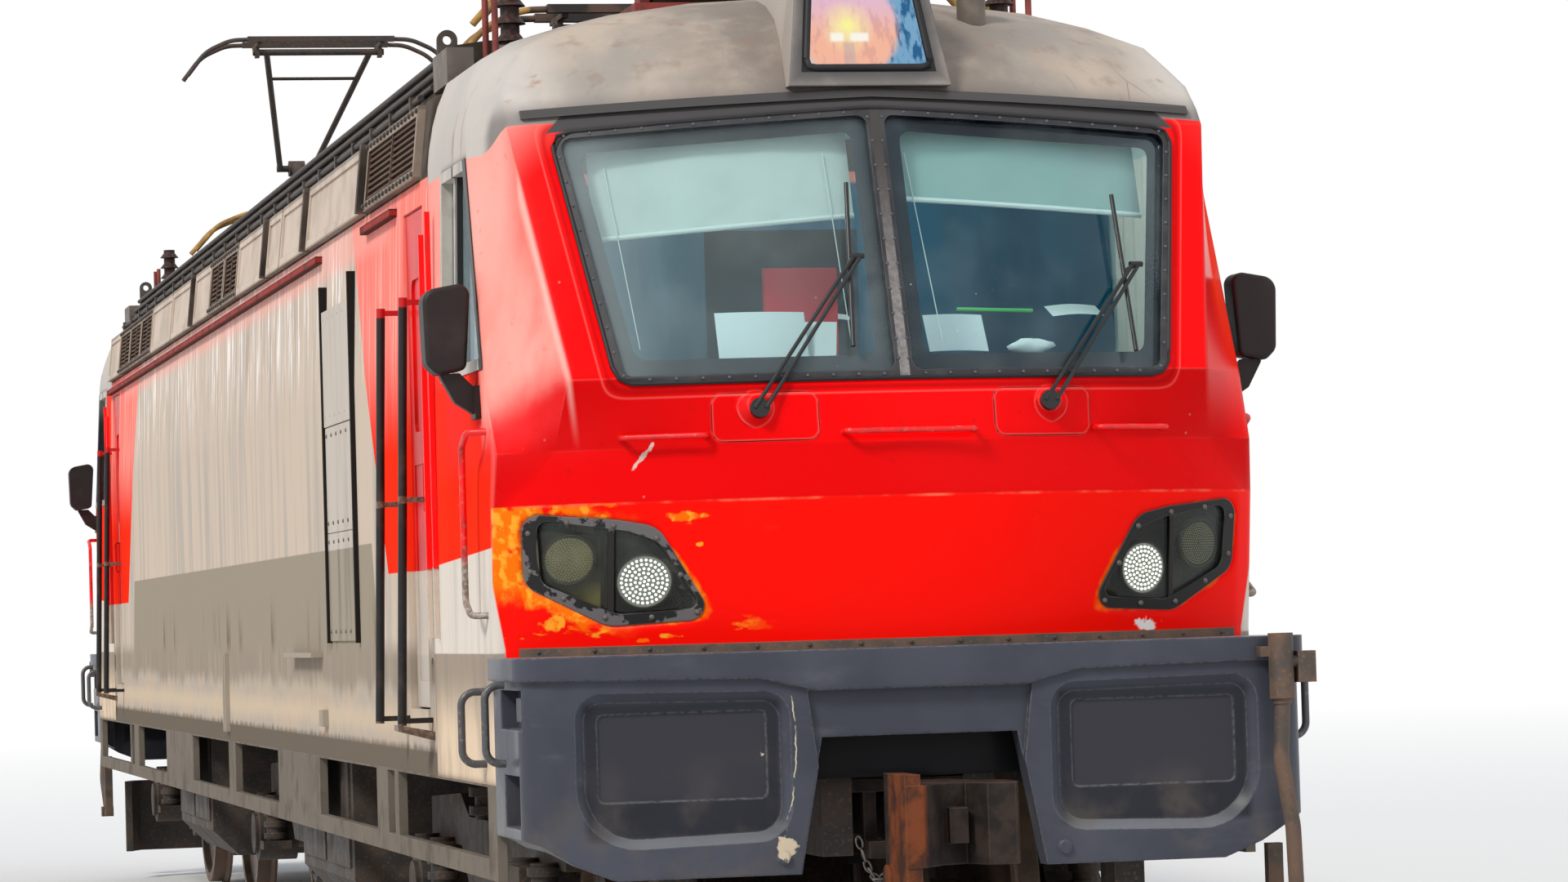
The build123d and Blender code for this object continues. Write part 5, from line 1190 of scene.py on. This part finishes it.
def coupler_chain():
    """Short chain that hangs beside each coupler's head."""
    links = Pile()
    count, span, sag = 11, 0.158, 0.66
    for index in range(count):
        share = (index + 0.5) / count
        centre = Vector((-0.343 + span * share, -nose_plane - 0.36, 1.055 - sag * share * (1 - share)))
        slope = Vector((span, 0, -sag * (1 - 2 * share))).normalized()
        across = Vector((0, 1, 0)) if index % 2 else Vector((-slope.z, 0, slope.x))
        links.tube([centre + slope * (0.024 * math.cos(a)) + across * (0.012 * math.sin(a))
                    for a in circle(10, 11)], 0.0042, sides=5)
    links.piece("coupler_chain", worn_bolt, "coupler_steel")


def desk_things():
    """Papers, a folder, a ruler and crumpled paper on the desk, and the guide wires of the blinds."""
    papers, crumple, folder, ruler, wires = [Pile() for _ in range(5)]
    for x, setback, z, wide, deep, turn, tilt in paper_places:
        place = Matrix.Translation((x, -nose_plane + setback, z))
        place = place @ Euler((tilt, 0, turn)).to_matrix().to_4x4()
        rows, columns = 4, 6
        vertices = []
        for row in range(rows + 1):
            for column in range(columns + 1):
                u, v = column / columns - 0.5, row / rows - 0.5
                lift = 0.012 * math.cos(3.0 * u) + 0.01 * u * u
                vertices.append(place @ Vector((u * wide, v * deep, lift)))
        papers.add(vertices, grid_faces(rows + 1, columns + 1))
    papers.piece("desk_papers", paper_white, "desk_plastic")
    rings, steps = 8, 14
    vertices = []
    for ring in range(rings + 1):
        for turn in circle(steps):
            up = math.pi * ring / rings
            wave = 1 + 0.22 * math.sin(3 * turn + 2 * up) * math.sin(up) + 0.12 * math.cos(5 * turn - 3 * up)
            vertices.append(Vector((0.61 + 0.085 * wave * math.sin(up) * math.cos(turn),
                                    -nose_plane + 0.52 + 0.03 * wave * math.sin(up) * math.sin(turn),
                                    2.895 + 0.03 * wave * math.cos(up))))
    crumple.add(vertices, grid_faces(rings + 1, steps, around=True))
    crumple.piece("crumpled_paper", paper_white, "desk_plastic", smooth=True)
    folder.block((-0.415, -nose_plane + 0.66, 2.76), (-0.125, -nose_plane + 0.7, 3.225))
    folder.piece("desk_folder", folder_red, "desk_plastic")
    ruler.tube([(0.39, -nose_plane + 0.8, 3.062), (0.7, -nose_plane + 0.8, 3.052)], 0.008)
    ruler.piece("desk_ruler", ruler_green, "desk_plastic")
    for x0, z0, x1, z1 in ((-1.04, 3.62, -0.97, 2.9), (0.125, 3.66, 0.19, 2.9), (-0.2, 3.66, -0.17, 2.9)):
        wires.tube([on_nose(x0, z0, -0.1), on_nose(x1, z1, -0.1)], 0.0022, sides=5)
    wires.piece("blind_guides", blind_rail, "desk_plastic")


def seen_ray(tree):
    """1 for rays of the camera, mirrors and glass, 0 for rays that carry light."""
    rays = new_node(tree, "LightPath").outputs
    found = rays["Is Camera Ray"]
    for name in ("Is Transmission Ray", "Is Glossy Ray"):
        found = new_node(tree, "Math", {0: found, 1: rays[name]}, operation="MAXIMUM").outputs[0]
    return found


def pale_floor():
    """Pale floor, which turns into the white backdrop where it is seen from afar."""
    size = 120.0
    mesh = bpy.data.meshes.new("floor")
    corners = [(-size, -size, 0), (size, -size, 0), (size, size, 0), (-size, size, 0)]
    mesh.from_pydata(corners, [], [(0, 1, 2, 3)])
    floor = bpy.data.objects.new("floor", mesh)
    bpy.context.scene.collection.objects.link(floor)
    g = Graph("floor_pale")
    away = g.node("VectorMath", {0: g.place}, operation="LENGTH").outputs["Value"]
    fade = g.node("MapRange", {"Value": away, "From Min": 16.0, "From Max": 60.0}).outputs["Result"]
    painted = g.node("BsdfPrincipled", {"Base Color": (0.72, 0.72, 0.71), "Roughness": 0.9}).outputs[0]
    white = g.node("Emission").outputs[0]
    mesh.materials.append(g.show(g.mix_shader(Term(g, fade) * seen_ray(g.tree), painted, white)))


def white_sky():
    """Soft bluish light all round, seen as plain white."""
    world = bpy.data.worlds.new("sky")
    bpy.context.scene.world = world
    world.use_nodes = True
    tree = world.node_tree
    tree.nodes.clear()
    soft = new_node(tree, "Background", {"Color": (0.86, 0.91, 1.0), "Strength": 0.62}).outputs[0]
    white = new_node(tree, "Background", {"Color": (1.0, 1.0, 1.0), "Strength": 1.0}).outputs[0]
    mixed = new_node(tree, "MixShader", {0: seen_ray(tree), 1: soft, 2: white}).outputs[0]
    new_node(tree, "OutputWorld", {0: mixed})


def new_light(name, kind, energy, colour=(1.0, 1.0, 1.0)):
    """A light and its object."""
    light = bpy.data.lights.new(name, kind)
    light.energy = energy
    light.color = colour
    fitting = bpy.data.objects.new(name, light)
    bpy.context.scene.collection.objects.link(fitting)
    return light, fitting


def lights():
    """A soft sun, broad weak light from the nose's other side, and soft light under the cab roofs."""
    sun, fitting = new_light("sun", "SUN", 2.3, (1.0, 0.97, 0.92))
    sun.angle = math.radians(14)
    fitting.rotation_euler = Vector((-0.85, -0.62, 0.95)).to_track_quat("Z", "Y").to_euler()
    fill, fitting = new_light("fill", "SUN", 0.75)
    fill.angle = math.radians(60)
    fitting.rotation_euler = Vector((0.75, -0.9, 0.45)).to_track_quat("Z", "Y").to_euler()
    fitting.visible_glossy = False
    for x, end in ((-0.6, -1), (0.6, -1), (-0.6, 1), (0.6, 1)):
        bulb, fitting = new_light("cab_light", "POINT", 9.0, (0.9, 1.0, 1.0))
        bulb.shadow_soft_size = 0.15
        fitting.location = (x, end * 9.25, 3.6)
        fitting.visible_camera = False
        fitting.visible_glossy = False
        fitting.visible_transmission = False


def photo_camera():
    """The camera that took the photo."""
    data = bpy.data.cameras.new("camera")
    data.lens = camera_lens
    data.sensor_width = 36.0
    data.clip_end = 500.0
    data.clip_start = 0.1
    camera = bpy.data.objects.new("camera", data)
    forward = Vector((math.sin(camera_yaw) * math.cos(camera_pitch),
                      math.cos(camera_yaw) * math.cos(camera_pitch), math.sin(camera_pitch)))
    right = Vector((math.cos(camera_yaw), -math.sin(camera_yaw), 0))
    up = right.cross(forward)
    turned_right = right * math.cos(camera_roll) + up * math.sin(camera_roll)
    turned_up = up * math.cos(camera_roll) - right * math.sin(camera_roll)
    basis = Matrix((turned_right, turned_up, -forward)).transposed().to_4x4()
    camera.matrix_world = Matrix.Translation(camera_place) @ basis
    bpy.context.scene.collection.objects.link(camera)
    bpy.context.scene.camera = camera


bpy.context.scene.view_settings.view_transform = "Standard"

red_trim = worn_paint("red_trim", signal_red, 0.4, (0.3, 0.02, 0.02), 0.3)
pale_trim = worn_paint("pale_trim", pale_grey, 0.5, (0.3, 0.24, 0.18), 0.5)
sill_paint = worn_paint("sill_paint", (0.18, 0.153, 0.122), 0.6, (0.09, 0.074, 0.058), 0.6, gloss=0.02)
roof_brown = worn_paint("roof_brown", (0.05, 0.04, 0.034), 0.6, (0.12, 0.09, 0.07), 0.6)
dark_metal = worn_paint("dark_metal", (0.06, 0.05, 0.045), 0.5, (0.16, 0.09, 0.05), 0.5, 0.4)
worn_bolt = worn_paint("worn_bolt", (0.12, 0.11, 0.1), 0.45, (0.2, 0.12, 0.07), 0.5, 0.5)
screw_steel = worn_paint("screw_steel", (0.09, 0.1, 0.12), 0.4, (0.2, 0.16, 0.13), 0.3, 0.5)
rubber = plastic("rubber", (0.013, 0.013, 0.015), 0.55)
border_black = plastic("border_black", (0.006, 0.009, 0.02), 0.2, strength=0.05)
joint_dark = plastic("joint_dark", (0.1, 0.003, 0.004), 0.5)
folder_red = plastic("folder_red", (0.75, 0.012, 0.03), 0.5)
ruler_green = plastic("ruler_green", (0.12, 0.75, 0.2), 0.4)
blind_rail = plastic("blind_rail", (0.8, 0.82, 0.78), 0.4)
lens_dots = plastic("lens_dots", (0.42, 0.42, 0.34), 0.3)
paper_white = plastic("paper_white", (0.85, 0.87, 0.87), 0.7, 40.0, 0.1)
blind_cloth = woven("blind_cloth", (0.64, 0.66, 0.62), in_shade=(0.34, 0.46, 0.43))
curtain_cloth = woven("curtain_cloth", (0.78, 0.7, 0.6))
lamp_light = glowing("lamp_light", (0.95, 0.98, 1.0), 2.4)
lamp_glow = glowing("lamp_glow", (0.8, 0.87, 0.95), 0.34)
brown_strip = rusty_steel("brown_strip", (0.07, 0.055, 0.045), (0.2, 0.12, 0.08), 0.6)
under_black = rusty_steel("under_black", (0.03, 0.028, 0.026), (0.085, 0.06, 0.045), 0.7)
wheel_steel = rusty_steel("wheel_steel", (0.1, 0.075, 0.06), (0.2, 0.12, 0.08), 0.6, 0.6, 0.5)
panto_dark = rusty_steel("panto_dark", steel_grey, steel_rust, 0.5)

dress(nose_paint(), "cab_shell_front", "cab_shell_rear")
dress(side_paint(), "machine_body")
dress(door_paint(), "door_front*", "door_rear*")
dress(bumper_paint(), "bumper_front", "bumper_rear")
dress(cover_paint(), "side_covers")
dress(sill_paint, "side_skirts")
dress(pane_glass("windshield_glass", (0.9, 0.98, 0.98), 0.02, 0.03), "cab_glass")
dress(lamp_cover_glass(), "lamp_glass")
dress(flaked_black(), "headlamps")
dress(frame_paint(), "window_frames")
dress(coupler_steel(), "couplers")
dress(under_black, "draft_boxes", "ploughs", "underfloor_boxes", "transformer", "bogie_frame*", "traction*")
dress(wheel_steel, "wheelset*")
dress(brown_strip, "jumpers")
dress(hatch_paint(), "roof_hatches")
dress(roof_paint(), "roof_gear")
dress(roof_brown, "roof_rails")
dress(roof_lamp_paint(), "roof_lamps")
dress(plastic("mirror_case", (0.016, 0.0095, 0.009), 0.5), "mirrors")
dress(door_rail_paint(), "door_rails")
dress(rail_paint(), "handrails")
dress(plastic("wet_black", (0.018, 0.018, 0.019), 0.3), "wipers")
dress(plastic("desk_blue", (0.035, 0.075, 0.12), 0.5), "cab_desks")
dress(woven("seat_cloth", (0.05, 0.07, 0.12)), "seats")
dress(panto_base_paint(), "pantograph_bases")
dress(panto_dark, "panto_*")
dress(horn_paint(), "panto_1_head", "panto_2_head", "panto_3_head")

windshield_trim()
blinds()
lamp_units()
nose_seams()
side_details()
roof_details()
roof_lamp_gasket()
coupler_chain()
desk_things()
pale_floor()
white_sky()
lights()
photo_camera()
